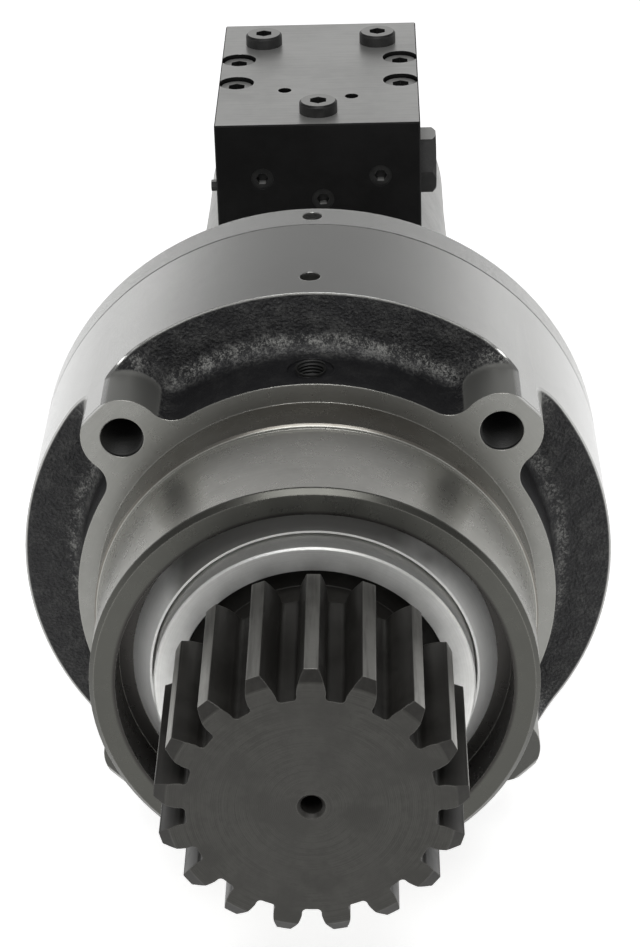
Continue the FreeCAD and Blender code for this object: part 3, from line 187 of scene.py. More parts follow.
class ShaftSettings(bpy.types.PropertyGroup):
    """Colours of the output shaft and what runs on it."""

    steel: FloatVectorProperty(
        name="Pinion steel", description="Colour of the hardened pinion",
        subtype="COLOR", default=(0.022, 0.021, 0.019), min=0, max=1)
    land: FloatVectorProperty(
        name="Tooth lands", description="Colour of the ground tops of the teeth",
        subtype="COLOR", default=(0.36, 0.355, 0.335), min=0, max=1)
    collar: FloatVectorProperty(
        name="Collar", description="Colour of the ground collar",
        subtype="COLOR", default=(0.78, 0.78, 0.76), min=0, max=1)
    seal: FloatVectorProperty(
        name="Seal case", description="Colour of the seal's pale case",
        subtype="COLOR", default=(0.93, 0.93, 0.91), min=0, max=1)
    # Painted shadow on the upper part of the seal
    seal_shadow: FloatVectorProperty(
        name="Shadow", description="Colour of the grease on the seal",
        subtype="COLOR", default=(0.10, 0.097, 0.088), min=0, max=1)


class BlockSettings(bpy.types.PropertyGroup):
    """Colours of the valve block and its small parts."""

    paint: FloatVectorProperty(
        name="Black paint", description="Colour of the block's painted sides",
        subtype="COLOR", default=(0.003, 0.003, 0.003), min=0, max=1)
    top: FloatVectorProperty(
        name="Milled top", description="Colour of the block's milled top face",
        subtype="COLOR", default=(0.72, 0.72, 0.705), min=0, max=1)
    screws: FloatVectorProperty(
        name="Screws", description="Colour of the black screws and plugs",
        subtype="COLOR", default=(0.006, 0.006, 0.006), min=0, max=1)
    # Painted highlight on the upper faces of screws, plugs and cap
    screw_top_highlight: FloatVectorProperty(
        name="Lit tops", description="Colour of the rubbed upper faces of screws, plugs and cap",
        subtype="COLOR", default=(0.62, 0.62, 0.605), min=0, max=1)


class ThreadSettings(bpy.types.PropertyGroup):
    """Threads cut in the ports."""

    pitch: FloatProperty(
        name="Thread pitch", description="Distance from one thread to the next",
        subtype="DISTANCE", default=1.5 * MM, min=0.5 * MM, max=4 * MM)
    depth: FloatProperty(
        name="Thread depth", description="Height of a thread above the bore",
        subtype="DISTANCE", default=0.8 * MM, min=0.2 * MM, max=2 * MM)
    segments: IntProperty(
        name="Segments", description="Steps in one turn of a thread", default=40, min=12, max=120)


class StudioSettings(bpy.types.PropertyGroup):
    """Floor and light."""

    floor_colour: FloatVectorProperty(
        name="Floor", description="Colour of the floor",
        subtype="COLOR", default=(0.86, 0.86, 0.86), min=0, max=1)
    floor_glow: FloatProperty(
        name="Floor glow", description="White that the floor shows to the camera and in reflections",
        default=0.72, min=0, max=2)
    sky_low: FloatProperty(
        name="Wall level", description="Light from the studio's walls", default=1.15, min=0, max=3)
    sky_high: FloatProperty(
        name="Ceiling level", description="Light from the studio's ceiling", default=0.26, min=0, max=3)
    softbox_power: FloatProperty(
        name="Softbox", description="Power of the soft lamp above the object",
        subtype="POWER", unit="POWER", default=16.0, min=0, max=500)


# Node helpers
class Wiring:
    """Adds nodes to a tree and joins them."""

    def __init__(self, tree):
        self.tree = tree

    def add(self, kind, **settings):
        """New node with its settings."""
        node = self.tree.nodes.new(kind)
        for name, value in settings.items():
            setattr(node, name, value)
        return node

    def put(self, socket, value):
        """Links a socket into another, or sets its value."""
        if isinstance(value, bpy.types.NodeSocket):
            self.tree.links.new(value, socket)
        else:
            socket.default_value = value

    def math(self, operation, a, b=0.0, c=0.0):
        node = self.add("ShaderNodeMath", operation=operation)
        for socket, value in zip(node.inputs, (a, b, c)):
            self.put(socket, value)
        return node.outputs[0]

    def step(self, value, low, high, start=0.0, end=1.0):
        """Smooth change from start to end as value goes from low to high."""
        node = self.add("ShaderNodeMapRange", interpolation_type="SMOOTHSTEP")
        labels = ("Value", "From Min", "From Max", "To Min", "To Max")
        for label, given in zip(labels, (value, low, high, start, end)):
            self.put(node.inputs[label], given)
        return node.outputs["Result"]

    def noise(self, vector, scale, detail=2.0, roughness=0.5):
        node = self.add("ShaderNodeTexNoise")
        labels = ("Vector", "Scale", "Detail", "Roughness")
        for label, given in zip(labels, (vector, scale, detail, roughness)):
            self.put(node.inputs[label], given)
        return node.outputs["Fac"]

    def mix(self, share, a, b):
        """Colour between a and b."""
        node = self.add("ShaderNodeMix", data_type="RGBA")
        self.put(node.inputs["Factor"], share)
        for socket, value in ((node.inputs[6], a), (node.inputs[7], b)):
            self.put(socket, value if isinstance(value, bpy.types.NodeSocket) else (*value, 1.0))
        return node.outputs[2]

    def between(self, share, a, b):
        """Number between a and b."""
        node = self.add("ShaderNodeMix", data_type="FLOAT")
        for index, value in ((0, share), (2, a), (3, b)):
            self.put(node.inputs[index], value)
        return node.outputs[0]

    def effect(self, name, **values):
        """Outputs of a shared effect placed with these values."""
        node = self.add("ShaderNodeGroup", node_tree=bpy.data.node_groups[name])
        for label, value in values.items():
            self.put(node.inputs[label.replace("_", " ")], value)
        return node.outputs


def shared_effect(name, inputs, outputs, wire):
    """Makes a node group once. Inputs and outputs are (name, socket type, default) rows."""
    tree = bpy.data.node_groups.new(name, "ShaderNodeTree")
    for label, kind, default in inputs:
        socket = tree.interface.new_socket(label, in_out="INPUT", socket_type=kind)
        if default is not None:
            socket.default_value = default
    for label, kind in outputs:
        tree.interface.new_socket(label, in_out="OUTPUT", socket_type=kind)
    w = Wiring(tree)
    source = w.add("NodeGroupInput").outputs
    results = wire(w, source)
    sink = w.add("NodeGroupOutput")
    for label, value in results.items():
        tree.links.new(value, sink.inputs[label])


VECTOR, NUMBER = "NodeSocketVector", "NodeSocketFloat"


# Shared effects
def wire_shaft_place(w, source):
    """Distance from the shaft axis, place along it, and which way a surface looks."""
    place = w.add("ShaderNodeSeparateXYZ")
    looks = w.add("ShaderNodeSeparateXYZ")
    w.put(place.inputs[0], source["Place"])
    w.put(looks.inputs[0], source["Normal"])
    x, y, z = place.outputs
    nx, ny, nz = looks.outputs
    radius = w.math("SQRT", w.math("ADD", w.math("MULTIPLY", x, x), w.math("MULTIPLY", z, z)))
    dot = w.math("ADD", w.math("MULTIPLY", x, nx), w.math("MULTIPLY", z, nz))
    return {
        "Radius": radius, "Along": y,
        "Outward": w.math("DIVIDE", dot, w.math("MAXIMUM", radius, 1e-5)),
        "Forward": w.math("MULTIPLY", ny, -1.0), "Up": nz, "High": z,
    }


def wire_cast_grain(w, source):
    """Fine pebbled skin of a sand casting on a gently uneven ground."""
    size = w.math("DIVIDE", 1.0, source["Size"])
    pebbles = w.noise(source["Vector"], size, 4.0, 0.66)
    dust = w.noise(source["Vector"], w.math("MULTIPLY", size, 2.6), 2.0, 0.6)
    broad = w.noise(source["Vector"], w.math("MULTIPLY", size, 0.16), 3.0, 0.6)
    pits = w.add("ShaderNodeTexVoronoi", feature="SMOOTH_F1")
    w.put(pits.inputs["Vector"], source["Vector"])
    w.put(pits.inputs["Scale"], w.math("MULTIPLY", size, 0.8))
    bumps = w.math("ADD", w.math("MULTIPLY", pebbles, 1.1), w.math("MULTIPLY", pits.outputs["Distance"], 0.5))
    height = w.math("ADD", bumps, w.math("MULTIPLY", broad, 1.6))
    mixed = w.math("ADD", w.math("MULTIPLY", pebbles, 0.55), w.math("MULTIPLY", dust, 0.35))
    tips = w.step(w.math("ADD", mixed, w.math("MULTIPLY", broad, 0.45)), 0.62, 0.86)
    return {"Height": height, "Tips": tips}


def wire_turning_marks(w, source):
    """Fine ridges that a lathe leaves, one each pitch along Travel."""
    wobble = w.noise(source["Vector"], 60.0, 2.0)
    turns = w.math("DIVIDE", source["Travel"], source["Pitch"])
    wave = w.math("SINE", w.math("MULTIPLY", w.math("ADD", turns, w.math("MULTIPLY", wobble, 0.6)), math.tau))
    stretched = w.add("ShaderNodeCombineXYZ")
    w.put(stretched.inputs[0], w.math("MULTIPLY", source["Travel"], 1600.0))
    w.put(stretched.inputs[1], w.math("MULTIPLY", wobble, 1.4))
    bands = w.noise(stretched.outputs[0], 1.0, 3.0, 0.6)
    return {"Height": wave, "Tone": bands}


def wire_edge_wear(w, source):
    """White on worn outer edges, and a normal that rounds them."""
    rounded = w.add("ShaderNodeBevel", samples=4)
    w.put(rounded.inputs["Radius"], source["Size"])
    sharp = w.add("ShaderNodeNewGeometry")
    product = w.add("ShaderNodeVectorMath", operation="DOT_PRODUCT")
    w.put(product.inputs[0], rounded.outputs[0])
    w.put(product.inputs[1], sharp.outputs["Normal"])
    turned = w.math("SUBTRACT", 1.0, product.outputs["Value"])
    scratch = w.noise(source["Vector"], 220.0, 3.0, 0.6)
    edge = w.step(w.math("ADD", turned, w.math("MULTIPLY", scratch, 0.02)), 0.04, 0.14)
    return {"Edge": edge, "Normal": rounded.outputs[0]}


def wire_oil_film(w, source):
    """Smudges of thin oil that change colour and gloss a little."""
    broad = w.noise(source["Vector"], source["Scale"], 4.0, 0.55)
    fine = w.noise(source["Vector"], w.math("MULTIPLY", source["Scale"], 6.0), 3.0, 0.6)
    both = w.math("ADD", w.math("MULTIPLY", broad, 0.7), w.math("MULTIPLY", fine, 0.3))
    return {"Smudge": w.step(both, 0.38, 0.66), "Fine": fine}


def build_effects():
    shared_effect(
        "shaft_place", [("Place", VECTOR, None), ("Normal", VECTOR, None)],
        [(n, NUMBER) for n in ("Radius", "Along", "Outward", "Forward", "Up", "High")], wire_shaft_place)
    shared_effect(
        "cast_grain", [("Vector", VECTOR, None), ("Size", NUMBER, 1.5 * MM)],
        [("Height", NUMBER), ("Tips", NUMBER)], wire_cast_grain)
    shared_effect(
        "turning_marks", [("Vector", VECTOR, None), ("Travel", NUMBER, 0.0), ("Pitch", NUMBER, 0.4 * MM)],
        [("Height", NUMBER), ("Tone", NUMBER)], wire_turning_marks)
    shared_effect(
        "edge_wear", [("Vector", VECTOR, None), ("Size", NUMBER, 0.6 * MM)],
        [("Edge", NUMBER), ("Normal", VECTOR)], wire_edge_wear)
    shared_effect(
        "oil_film", [("Vector", VECTOR, None), ("Scale", NUMBER, 30.0)],
        [("Smudge", NUMBER), ("Fine", NUMBER)], wire_oil_film)


# Materials
class Finish:
    """A new material with its shader, object coordinates and the shared effects at hand."""

    def __init__(self, name, specular=0.5):
        self.material = bpy.data.materials.new(name)
        self.material.use_nodes = True
        tree = self.material.node_tree
        tree.nodes.clear()
        self.w = Wiring(tree)
        self.shader = self.w.add("ShaderNodeBsdfPrincipled")
        self.shader.inputs["Specular IOR Level"].default_value = specular
        sink = self.w.add("ShaderNodeOutputMaterial")
        tree.links.new(self.shader.outputs[0], sink.inputs["Surface"])
        coordinates = self.w.add("ShaderNodeTexCoord")
        self.spot = coordinates.outputs["Object"]
        self.normal = coordinates.outputs["Normal"]

    def place(self):
        return self.w.effect("shaft_place", Place=self.spot, Normal=self.normal)

    def wear(self, size):
        return self.w.effect("edge_wear", Vector=self.spot, Size=size)

    def film(self, scale):
        return self.w.effect("oil_film", Vector=self.spot, Scale=scale)

    def turning(self, travel, pitch):
        return self.w.effect("turning_marks", Vector=self.spot, Travel=travel, Pitch=pitch)

    def bump(self, height, distance, strength=1.0, under=None):
        node = self.w.add("ShaderNodeBump")
        self.w.put(node.inputs["Height"], height)
        node.inputs["Distance"].default_value = distance
        self.w.put(node.inputs["Strength"], strength)
        if under is not None:
            self.w.put(node.inputs["Normal"], under)
        return node.outputs[0]

    def set(self, **values):
        for name, value in values.items():
            label = name.replace("_", " ")
            if label == "Base Color" and not isinstance(value, bpy.types.NodeSocket):
                value = (*value, 1.0)
            self.w.put(self.shader.inputs[label], value)
        return self.material


def housing_finish(look):
    """Gear housing: turned rim and spigot, milled faces, smooth ears, rough pockets."""
    f = Finish("housing_iron", specular=0.4)
    w = f.w
    place = f.place()
    radius, along = place["Radius"], place["Along"]
    grain = w.effect("cast_grain", Vector=f.spot, Size=look.grain)
    film = f.film(26.0)
    wear = f.wear(0.6 * MM)
    marks = f.turning(w.math("ADD", radius, along), 0.45 * MM)

    behind_face = w.step(along, SEAM * 0.5, SEAM)
    before_floor = w.step(along, POCKET_FLOOR_Y + SEAM, POCKET_FLOOR_Y + 2 * SEAM, 1.0, 0.0)
    on_rim = w.step(radius, RIM_R - RIM_FADE[0], RIM_R - RIM_FADE[1])
    from_ear = distance_from_ears(w, f.spot)
    on_ear = w.step(from_ear, EAR_R + EAR_FADE[0], EAR_R + EAR_FADE[1], 1.0, 0.0)
    hole_edge = w.step(from_ear, EAR_HOLE_R + HOLE_FADE[0], EAR_HOLE_R + HOLE_FADE[1], 1.0, 0.0)
    hole_shade = w.math("MULTIPLY", hole_edge, behind_face)
    off_rim = w.math("SUBTRACT", 1.0, on_rim)
    in_pocket = w.math("MULTIPLY", w.math("MULTIPLY", behind_face, before_floor), off_rim)
    cast = w.math("MULTIPLY", in_pocket, w.math("SUBTRACT", 1.0, on_ear))
    ear_side = w.math("MULTIPLY", in_pocket, on_ear)
    off_neck = w.step(radius, NECK_R + NECK_FADE, NECK_R + 0.6 * POCKET_FILLET, 0.25, 1.0)
    forward = w.math("MAXIMUM", place["Forward"], 0.0)
    outward = w.math("MAXIMUM", place["Outward"], 0.0)
    # Painted highlight: where the skin faces forward and outward, as on the pocket's fillet, its grain tips
    # are coloured lighter
    fillet_highlight = w.step(w.math("MULTIPLY", forward, outward), 0.05, 0.45)

    on_front = w.step(along, -FRONT_FADE[0], -FRONT_FADE[1], 1.0, 0.0)
    flange_side = w.math("SUBTRACT", 1.0, w.math("MAXIMUM", on_rim, on_front))
    before_flange = w.step(along, -0.5 * SEAM, 0.0, 1.0, 0.0)
    wide = w.step(radius, PILOT_R - SPIGOT_FADE[0], PILOT_R - SPIGOT_FADE[1])
    outside = w.math("MULTIPLY", wide, w.step(place["Outward"], 0.2, 0.5))
    on_spigot = w.math("MULTIPLY", before_flange, outside)
    on_pilot = w.math("MULTIPLY", on_spigot, w.step(radius, PILOT_R - PILOT_FADE[0], PILOT_R - PILOT_FADE[1]))
    front_ring = w.step(along, SPIGOT_FRONT + SPIGOT_EDGE, SPIGOT_FRONT + SPIGOT_EDGE + SEAM, 1.0, 0.0)
    bore_r = PILOT_R - SPIGOT_WALL
    recess_shade = w.math("MULTIPLY", before_flange, w.step(radius, bore_r - BORE_FADE, bore_r, 1.0, 0.0))
    seam = w.math("MULTIPLY", w.step(along, JOINT_Y - 1.3 * SEAM, JOINT_Y - 0.9 * SEAM), on_rim)

    tips = w.math("MULTIPLY", grain["Tips"], off_neck)
    # Grain tips are the skin's own colour, at full strength in the fillet as a painted highlight and faint
    # elsewhere
    skin = w.mix(w.math("MULTIPLY", tips, w.between(fillet_highlight, 0.16, 1.0)), look.cast_dark, look.cast_light)
    colour = w.mix(on_rim, look.face_grey, look.rim_grey)
    colour = w.mix(on_spigot, colour, look.spigot_grey)
    # Painted highlight: the top of the spigot is coloured lighter towards its front, standing in for light
    # from above
    to_front = w.step(along, SPIGOT_FRONT + SPIGOT_SHINE[0], SPIGOT_FRONT + SPIGOT_SHINE[1], 1.0, 0.0)
    highlighted = w.math("MULTIPLY", w.math("MULTIPLY", on_spigot, to_front), w.step(place["Up"], 0.80, 0.98))
    colour = w.mix(highlighted, colour, look.spigot_highlight)
    rust = w.mix(film["Smudge"], PILOT_RUST, PILOT_RUST_DARK)
    colour = w.mix(w.math("MULTIPLY", on_pilot, 0.75), colour, rust)
    colour = w.mix(front_ring, colour, look.ring_grey)
    # Painted shade: the spigot's recess is coloured dark where shade falls
    colour = w.mix(recess_shade, colour, BORE_SHADE)
    # Painted shade: the flange's sides are coloured darker towards the bottom, standing in for the floor's
    # shadow
    low_shade = w.math("MULTIPLY", w.step(place["High"], -SHADE_BELOW, -SHADE_FROM, 1.0, 0.0), flange_side)
    colour = w.mix(w.math("MULTIPLY", low_shade, 0.85), colour, GRIME_AND_LOW_SHADE)
    tone = w.math("ADD", w.math("MULTIPLY", marks["Tone"], 0.25), w.math("MULTIPLY", film["Smudge"], 0.16))
    dirt = w.math("MULTIPLY", w.step(tone, 0.0, 0.42), w.between(on_rim, 0.22, 0.08))
    colour = w.mix(dirt, colour, GRIME_AND_LOW_SHADE)
    colour = w.mix(ear_side, colour, look.ear_grey)
    colour = w.mix(cast, colour, skin)
    # Painted shade: the ear holes are coloured near black where shade falls
    colour = w.mix(hole_shade, colour, HOLE_SHADE_AND_RUBBER_BLACK)
    covered = w.math("MAXIMUM", w.math("MAXIMUM", cast, w.math("MULTIPLY", on_rim, 0.7)), hole_shade)
    bare = w.math("SUBTRACT", 1.0, w.math("MAXIMUM", covered, seam))
    worn_and_lit = w.math("MULTIPLY", wear["Edge"], w.math("MULTIPLY", bare, 0.35))
    colour = w.mix(worn_and_lit, colour, WORN_IRON)
    colour = w.mix(w.math("MULTIPLY", seam, 0.9), colour, SEAM_BLACK)

    milled_rough = w.between(film["Fine"], 0.24, 0.32)
    turned_rough = w.between(on_rim, milled_rough, w.between(film["Fine"], *RIM_ROUGHNESS))
    rough = w.between(w.math("MAXIMUM", cast, ear_side), turned_rough, 0.46)
    dull = w.math("MAXIMUM", cast, hole_shade)
    metal = w.between(dull, 0.88, 0.05)
    fine = f.bump(marks["Height"], 0.003 * MM, w.math("SUBTRACT", 1.0, cast), wear["Normal"])
    rough_skin = f.bump(grain["Height"], 1.0 * MM, w.math("MULTIPLY", cast, off_neck), fine)
    return f.set(Base_Color=colour, Roughness=rough, Metallic=metal, Normal=rough_skin)


def distance_from_ears(w, spot):
    """Distance of a point from the axis of the nearest of the four ears."""
    split = w.add("ShaderNodeSeparateXYZ")
    w.put(split.inputs[0], spot)
    x = w.math("SUBTRACT", w.math("ABSOLUTE", split.outputs[0]), EAR_PLACE)
    z = w.math("SUBTRACT", w.math("ABSOLUTE", split.outputs[2]), EAR_PLACE)
    return w.math("SQRT", w.math("ADD", w.math("MULTIPLY", x, x), w.math("MULTIPLY", z, z)))


def motor_finish(look):
    """Motor casings: light grey, turned rim, fine cast skin on the barrel."""
    f = Finish("motor_iron")
    w = f.w
    place = f.place()
    grain = w.effect("cast_grain", Vector=f.spot, Size=0.9 * MM)
    film = f.film(22.0)
    wear = f.wear(0.7 * MM)
    marks = f.turning(w.math("ADD", place["Radius"], place["Along"]), 0.5 * MM)
    turned = w.step(place["Radius"], RIM_R - FLANGE_FADE[0], RIM_R - FLANGE_FADE[1])
    near_seam = w.step(place["Along"], JOINT_Y + 0.9 * SEAM, JOINT_Y + 1.3 * SEAM, 1.0, 0.0)
    seam = w.math("MULTIPLY", near_seam, turned)
    colour = w.mix(turned, look.motor_grey, look.rim_grey)
    smudge = w.math("MULTIPLY", film["Smudge"], w.between(turned, 0.22, 0.06))
    colour = w.mix(smudge, colour, CASING_SMUDGE)
    tips = w.math("MULTIPLY", grain["Tips"], w.between(turned, 0.18, 0.0))
    colour = w.mix(tips, colour, CASING_GRAIN)
    bare = w.math("SUBTRACT", 0.5, w.math("MULTIPLY", seam, 0.5))
    colour = w.mix(w.math("MULTIPLY", wear["Edge"], bare), colour, WORN_CASING)
    colour = w.mix(w.math("MULTIPLY", seam, 0.9), colour, SEAM_BLACK)
    skin_rough = w.between(film["Fine"], 0.42, 0.55)
    rough = w.between(turned, skin_rough, w.between(film["Fine"], *RIM_ROUGHNESS))
    fine = f.bump(marks["Height"], 0.012 * MM, turned, wear["Normal"])
    skin = f.bump(grain["Height"], 0.16 * MM, w.math("SUBTRACT", 1.0, turned), fine)
    return f.set(Base_Color=colour, Roughness=rough, Metallic=w.between(turned, 0.35, 0.9), Normal=skin)


def pinion_finish(look):
    """Hardened pinion: dark end face with turning marks, paler ground lands."""
    f = Finish("pinion_steel", specular=0.3)
    w = f.w
    place = f.place()
    film = f.film(42.0)
    wear = f.wear(0.8 * MM)
    marks = f.turning(place["Radius"], 0.7 * MM)
    top_r = PINION_TIP_R - 0.5 * MM
    near_top = w.step(place["Radius"], top_r, top_r + 0.3 * MM)
    land = w.math("MULTIPLY", near_top, w.step(place["Outward"], 0.85, 0.97))
    end = w.step(place["Along"], PINION_FRONT + 0.2 * MM, PINION_FRONT + 0.5 * MM, 1.0, 0.0)
    streak_spot = w.add("ShaderNodeMapping")
    w.put(streak_spot.inputs["Vector"], f.spot)
    streak_spot.inputs["Scale"].default_value = (1.0, 0.06, 1.0)
    streaks = w.noise(streak_spot.outputs[0], 420.0, 3.0, 0.6)
    colour = w.mix(land, look.steel, look.land)
    colour = w.mix(w.math("MULTIPLY", w.step(streaks, 0.4, 0.7), 0.35), colour, TOOTH_STREAK)
    scuffs = w.math("ADD", w.math("MULTIPLY", marks["Tone"], 0.6), w.math("MULTIPLY", film["Fine"], 0.5))
    blotches = w.step(w.noise(f.spot, 38.0, 5.0, 0.62), 0.44, 0.62)
    worn = w.math("MULTIPLY", w.math("MAXIMUM", w.step(scuffs, 0.46, 0.68), blotches), end)
    colour = w.mix(end, colour, END_FACE)
    colour = w.mix(w.math("MULTIPLY", worn, 0.65), colour, END_SCUFF)
    smudge = w.math("MULTIPLY", film["Smudge"], w.between(land, 0.25, 0.1))
    colour = w.mix(smudge, colour, PINION_SMUDGE)
    colour = w.mix(w.math("MULTIPLY", wear["Edge"], 0.3), colour, WORN_PINION)
    rough = w.between(film["Smudge"], 0.38, 0.50)
    fine = f.bump(marks["Height"], 0.008 * MM, end, wear["Normal"])
    fine = f.bump(streaks, 0.05 * MM, w.math("SUBTRACT", 1.0, end), fine)
    return f.set(Base_Color=colour, Roughness=rough, Metallic=w.between(land, 0.35, 0.9), Normal=fine)


def turned_finish(name, colour, dark, roughness, pitch, metallic=0.95, smudge=0.3, edge=(0.8, 0.8, 0.78)):
    """Turned or ground steel about the shaft axis."""
    f = Finish(name)
    w = f.w
    place = f.place()
    film = f.film(48.0)
    wear = f.wear(0.4 * MM)
    marks = f.turning(w.math("ADD", place["Radius"], place["Along"]), pitch)
    shade = w.mix(w.math("MULTIPLY", film["Smudge"], smudge), colour, dark)
    shade = w.mix(w.math("MULTIPLY", w.step(marks["Tone"], 0.45, 0.75), smudge), shade, dark)
    shade = w.mix(w.math("MULTIPLY", wear["Edge"], 0.5), shade, edge)
    rough = w.between(film["Fine"], roughness * 0.8, roughness * 1.25)
    fine = f.bump(marks["Height"], 0.01 * MM, 1.0, wear["Normal"])
    return f.set(Base_Color=shade, Roughness=rough, Metallic=metallic, Normal=fine)


def seal_finish(look):
    """Pale seal case, with painted shadow darkening the upper part of its shield, which is glossier there
    too.
    """
    f = Finish("seal_case")
    w = f.w
    place = f.place()
    film = f.film(48.0)
    wear = f.wear(0.4 * MM)
    marks = f.turning(w.math("ADD", place["Radius"], place["Along"]), 0.5 * MM)
    patches = w.noise(f.spot, 28.0, 3.0, 0.5)
    # Painted shadow: faces of the shield that look up are coloured dark, in patches, standing in for the
    # recess's shade
    top_shadow = w.step(w.math("ADD", place["Up"], w.math("MULTIPLY", patches, 0.5)), 0.74, 0.90)
    shade = w.mix(w.math("MULTIPLY", film["Smudge"], 0.2), look.seal, SEAL_SMUDGE)
    shade = w.mix(w.math("MULTIPLY", w.step(marks["Tone"], 0.45, 0.75), 0.15), shade, SEAL_TURNED)
    shade = w.mix(w.math("MULTIPLY", top_shadow, 0.8), shade, look.seal_shadow)
    rough = w.between(top_shadow, w.between(film["Fine"], 0.40, 0.55), 0.28)
    fine = f.bump(marks["Height"], 0.01 * MM, 1.0, wear["Normal"])
    return f.set(Base_Color=shade, Roughness=rough, Metallic=0.15, Normal=fine)


def speckled_finish(name, colour, dark, roughness, metallic, grain, depth,
                    edge=(0.4, 0.4, 0.39), top=None):
    """Blackened, phosphated or sintered surface, with upper faces lighter as a painted highlight if top is
    given.
    """
    f = Finish(name, specular=0.35)
    w = f.w
    film = f.film(60.0)
    wear = f.wear(0.35 * MM)
    skin = w.effect("cast_grain", Vector=f.spot, Size=grain)
    shade = w.mix(w.math("MULTIPLY", skin["Tips"], 0.5), colour, dark)
    shade = w.mix(w.math("MULTIPLY", film["Smudge"], 0.3), shade, dark)
    shade = w.mix(w.math("MULTIPLY", wear["Edge"], 0.45), shade, edge)
    if top is not None:
        # Painted highlight: faces that look up are coloured lighter and more metallic, standing in for light
        # from above
        worn_and_lit = w.step(f.place()["Up"], 0.75, 0.95)
        shade = w.mix(w.math("MULTIPLY", worn_and_lit, w.between(film["Fine"], 0.8, 1.0)), shade, top)
        metallic = w.between(worn_and_lit, metallic, 0.8)
    rough = w.between(film["Smudge"], roughness, min(1.0, roughness * 1.3))
    return f.set(Base_Color=shade, Roughness=rough, Metallic=metallic,
                 Normal=f.bump(skin["Height"], depth, 1.0, wear["Normal"]))


def block_finish(look):
    """Valve block: satin black sides and a milled top face."""
    f = Finish("block_black", specular=0.13)
    w = f.w
    place = f.place()
    film = f.film(18.0)
    wear = f.wear(0.5 * MM)
    split = w.add("ShaderNodeSeparateXYZ")
    w.put(split.inputs[0], f.spot)
    near_top = w.step(split.outputs[2], BLOCK_TOP - 1.2 * MM, BLOCK_TOP - 0.9 * MM)
    top = w.math("MULTIPLY", near_top, w.step(place["Up"], 0.8, 0.95))
    cutter = w.add("ShaderNodeMapping")
    w.put(cutter.inputs["Vector"], f.spot)
    cutter.inputs["Scale"].default_value = (0.05, 1.0, 1.0)
    lines = w.noise(cutter.outputs[0], 700.0, 3.0, 0.6)
    grain = w.effect("cast_grain", Vector=f.spot, Size=1.1 * MM)
    colour = w.mix(top, look.paint, look.top)
    cut_lines = w.math("MULTIPLY", w.step(lines, 0.4, 0.7), w.math("MULTIPLY", top, 0.14))
    colour = w.mix(cut_lines, colour, CUTTER_LINE)
    smudge = w.math("MULTIPLY", film["Smudge"], w.between(top, 0.03, 0.10))
    colour = w.mix(smudge, colour, BLOCK_SMUDGE)
    edge = w.math("MULTIPLY", wear["Edge"], w.between(top, 0.06, 0.1))
    colour = w.mix(edge, colour, WORN_BLOCK)
    paint_rough = w.between(film["Fine"], 0.50, 0.62)
    rough = w.between(top, paint_rough, w.between(film["Smudge"], 0.30, 0.40))
    normal = f.bump(lines, 0.03 * MM, top, wear["Normal"])
    normal = f.bump(grain["Height"], 0.05 * MM, w.math("SUBTRACT", 1.0, top), normal)
    return f.set(Base_Color=colour, Roughness=rough, Metallic=w.math("MULTIPLY", top, 0.85), Normal=normal)


def rubber_finish():
    f = Finish("nitrile_rubber", specular=0.35)
    w = f.w
    film = f.film(90.0)
    grain = w.effect("cast_grain", Vector=f.spot, Size=0.5 * MM)
    colour = w.mix(w.math("MULTIPLY", film["Smudge"], 0.4), HOLE_SHADE_AND_RUBBER_BLACK, RUBBER_DUST)
    return f.set(Base_Color=colour, Roughness=w.between(film["Fine"], 0.5, 0.7), Metallic=0.0,
                 Normal=f.bump(grain["Height"], 0.02 * MM))


def cover(node, material):
    """Makes a material the only one of a CAD node."""
    slots = NODES[node].data.materials
    slots.clear()
    slots.append(material)


def give(slots, material):
    """Covers every CAD node whose record slot is named."""
    for part in frame["record"]["subparts"]:
        if part["material_slot"] in slots:
            cover(part["node"], material)


# Mesh helpers
def new_piece(name, mesh, material):
    """Piece of its own on the casing."""
    piece = bpy.data.objects.new(name, mesh)
    bpy.context.scene.collection.objects.link(piece)
    mesh.materials.append(material)
    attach(piece, "casing")
    return piece


def axis_frame(place, axis):
    """Matrix whose Z runs along axis from place."""
    turn = Vector((0, 0, 1)).rotation_difference(Vector(axis)).to_matrix().to_4x4()
    return Matrix.Translation(Vector(place)) @ turn


def internal_thread(name, middle, axis, radius, length, threads, material):
    """Helical ridge on the wall of a threaded hole, from its mouth down."""
    turns = max(2, int((length - 2 * threads.pitch) / threads.pitch))
    steps = turns * threads.segments
    profile = [(0.0, 0.0), (threads.depth, 0.38), (threads.depth, 0.5), (0.0, 0.88)]
    lead_in = threads.segments // 2
    mesh = bpy.data.meshes.new(name)
    bm = bmesh.new()
    rows = []
    for i in range(steps + 1):
        angle = math.tau * i / threads.segments
        share = min(1.0, i / lead_in, (steps - i) / lead_in)
        row = []
        for height, along in profile:
            r = radius - 0.02 * MM - height * share
            z = length / 2 - threads.pitch * (i / threads.segments + along) - 0.4 * MM
            row.append(bm.verts.new((r * math.cos(angle), r * math.sin(angle), z)))
        rows.append(row)
    for a, b in zip(rows, rows[1:]):
        for j in range(len(profile)):
            k = (j + 1) % len(profile)
            bm.faces.new((a[j], b[j], b[k], a[k]))
    bm.faces.new(rows[0])
    bm.faces.new(list(reversed(rows[-1])))
    bmesh.ops.recalc_face_normals(bm, faces=bm.faces)
    bm.transform(axis_frame(middle, axis))
    bm.to_mesh(mesh)
    bm.free()
    return new_piece(name, mesh, material)


# Operators
class GEARBOX_OT_effects(bpy.types.Operator):
    """Make the shared shader effects: shaft place, cast grain, turning marks, edge wear, oil film"""

    bl_idname = "gearbox.effects"
    bl_label = "Shared Effects"

    def execute(self, context):
        build_effects()
        return {"FINISHED"}


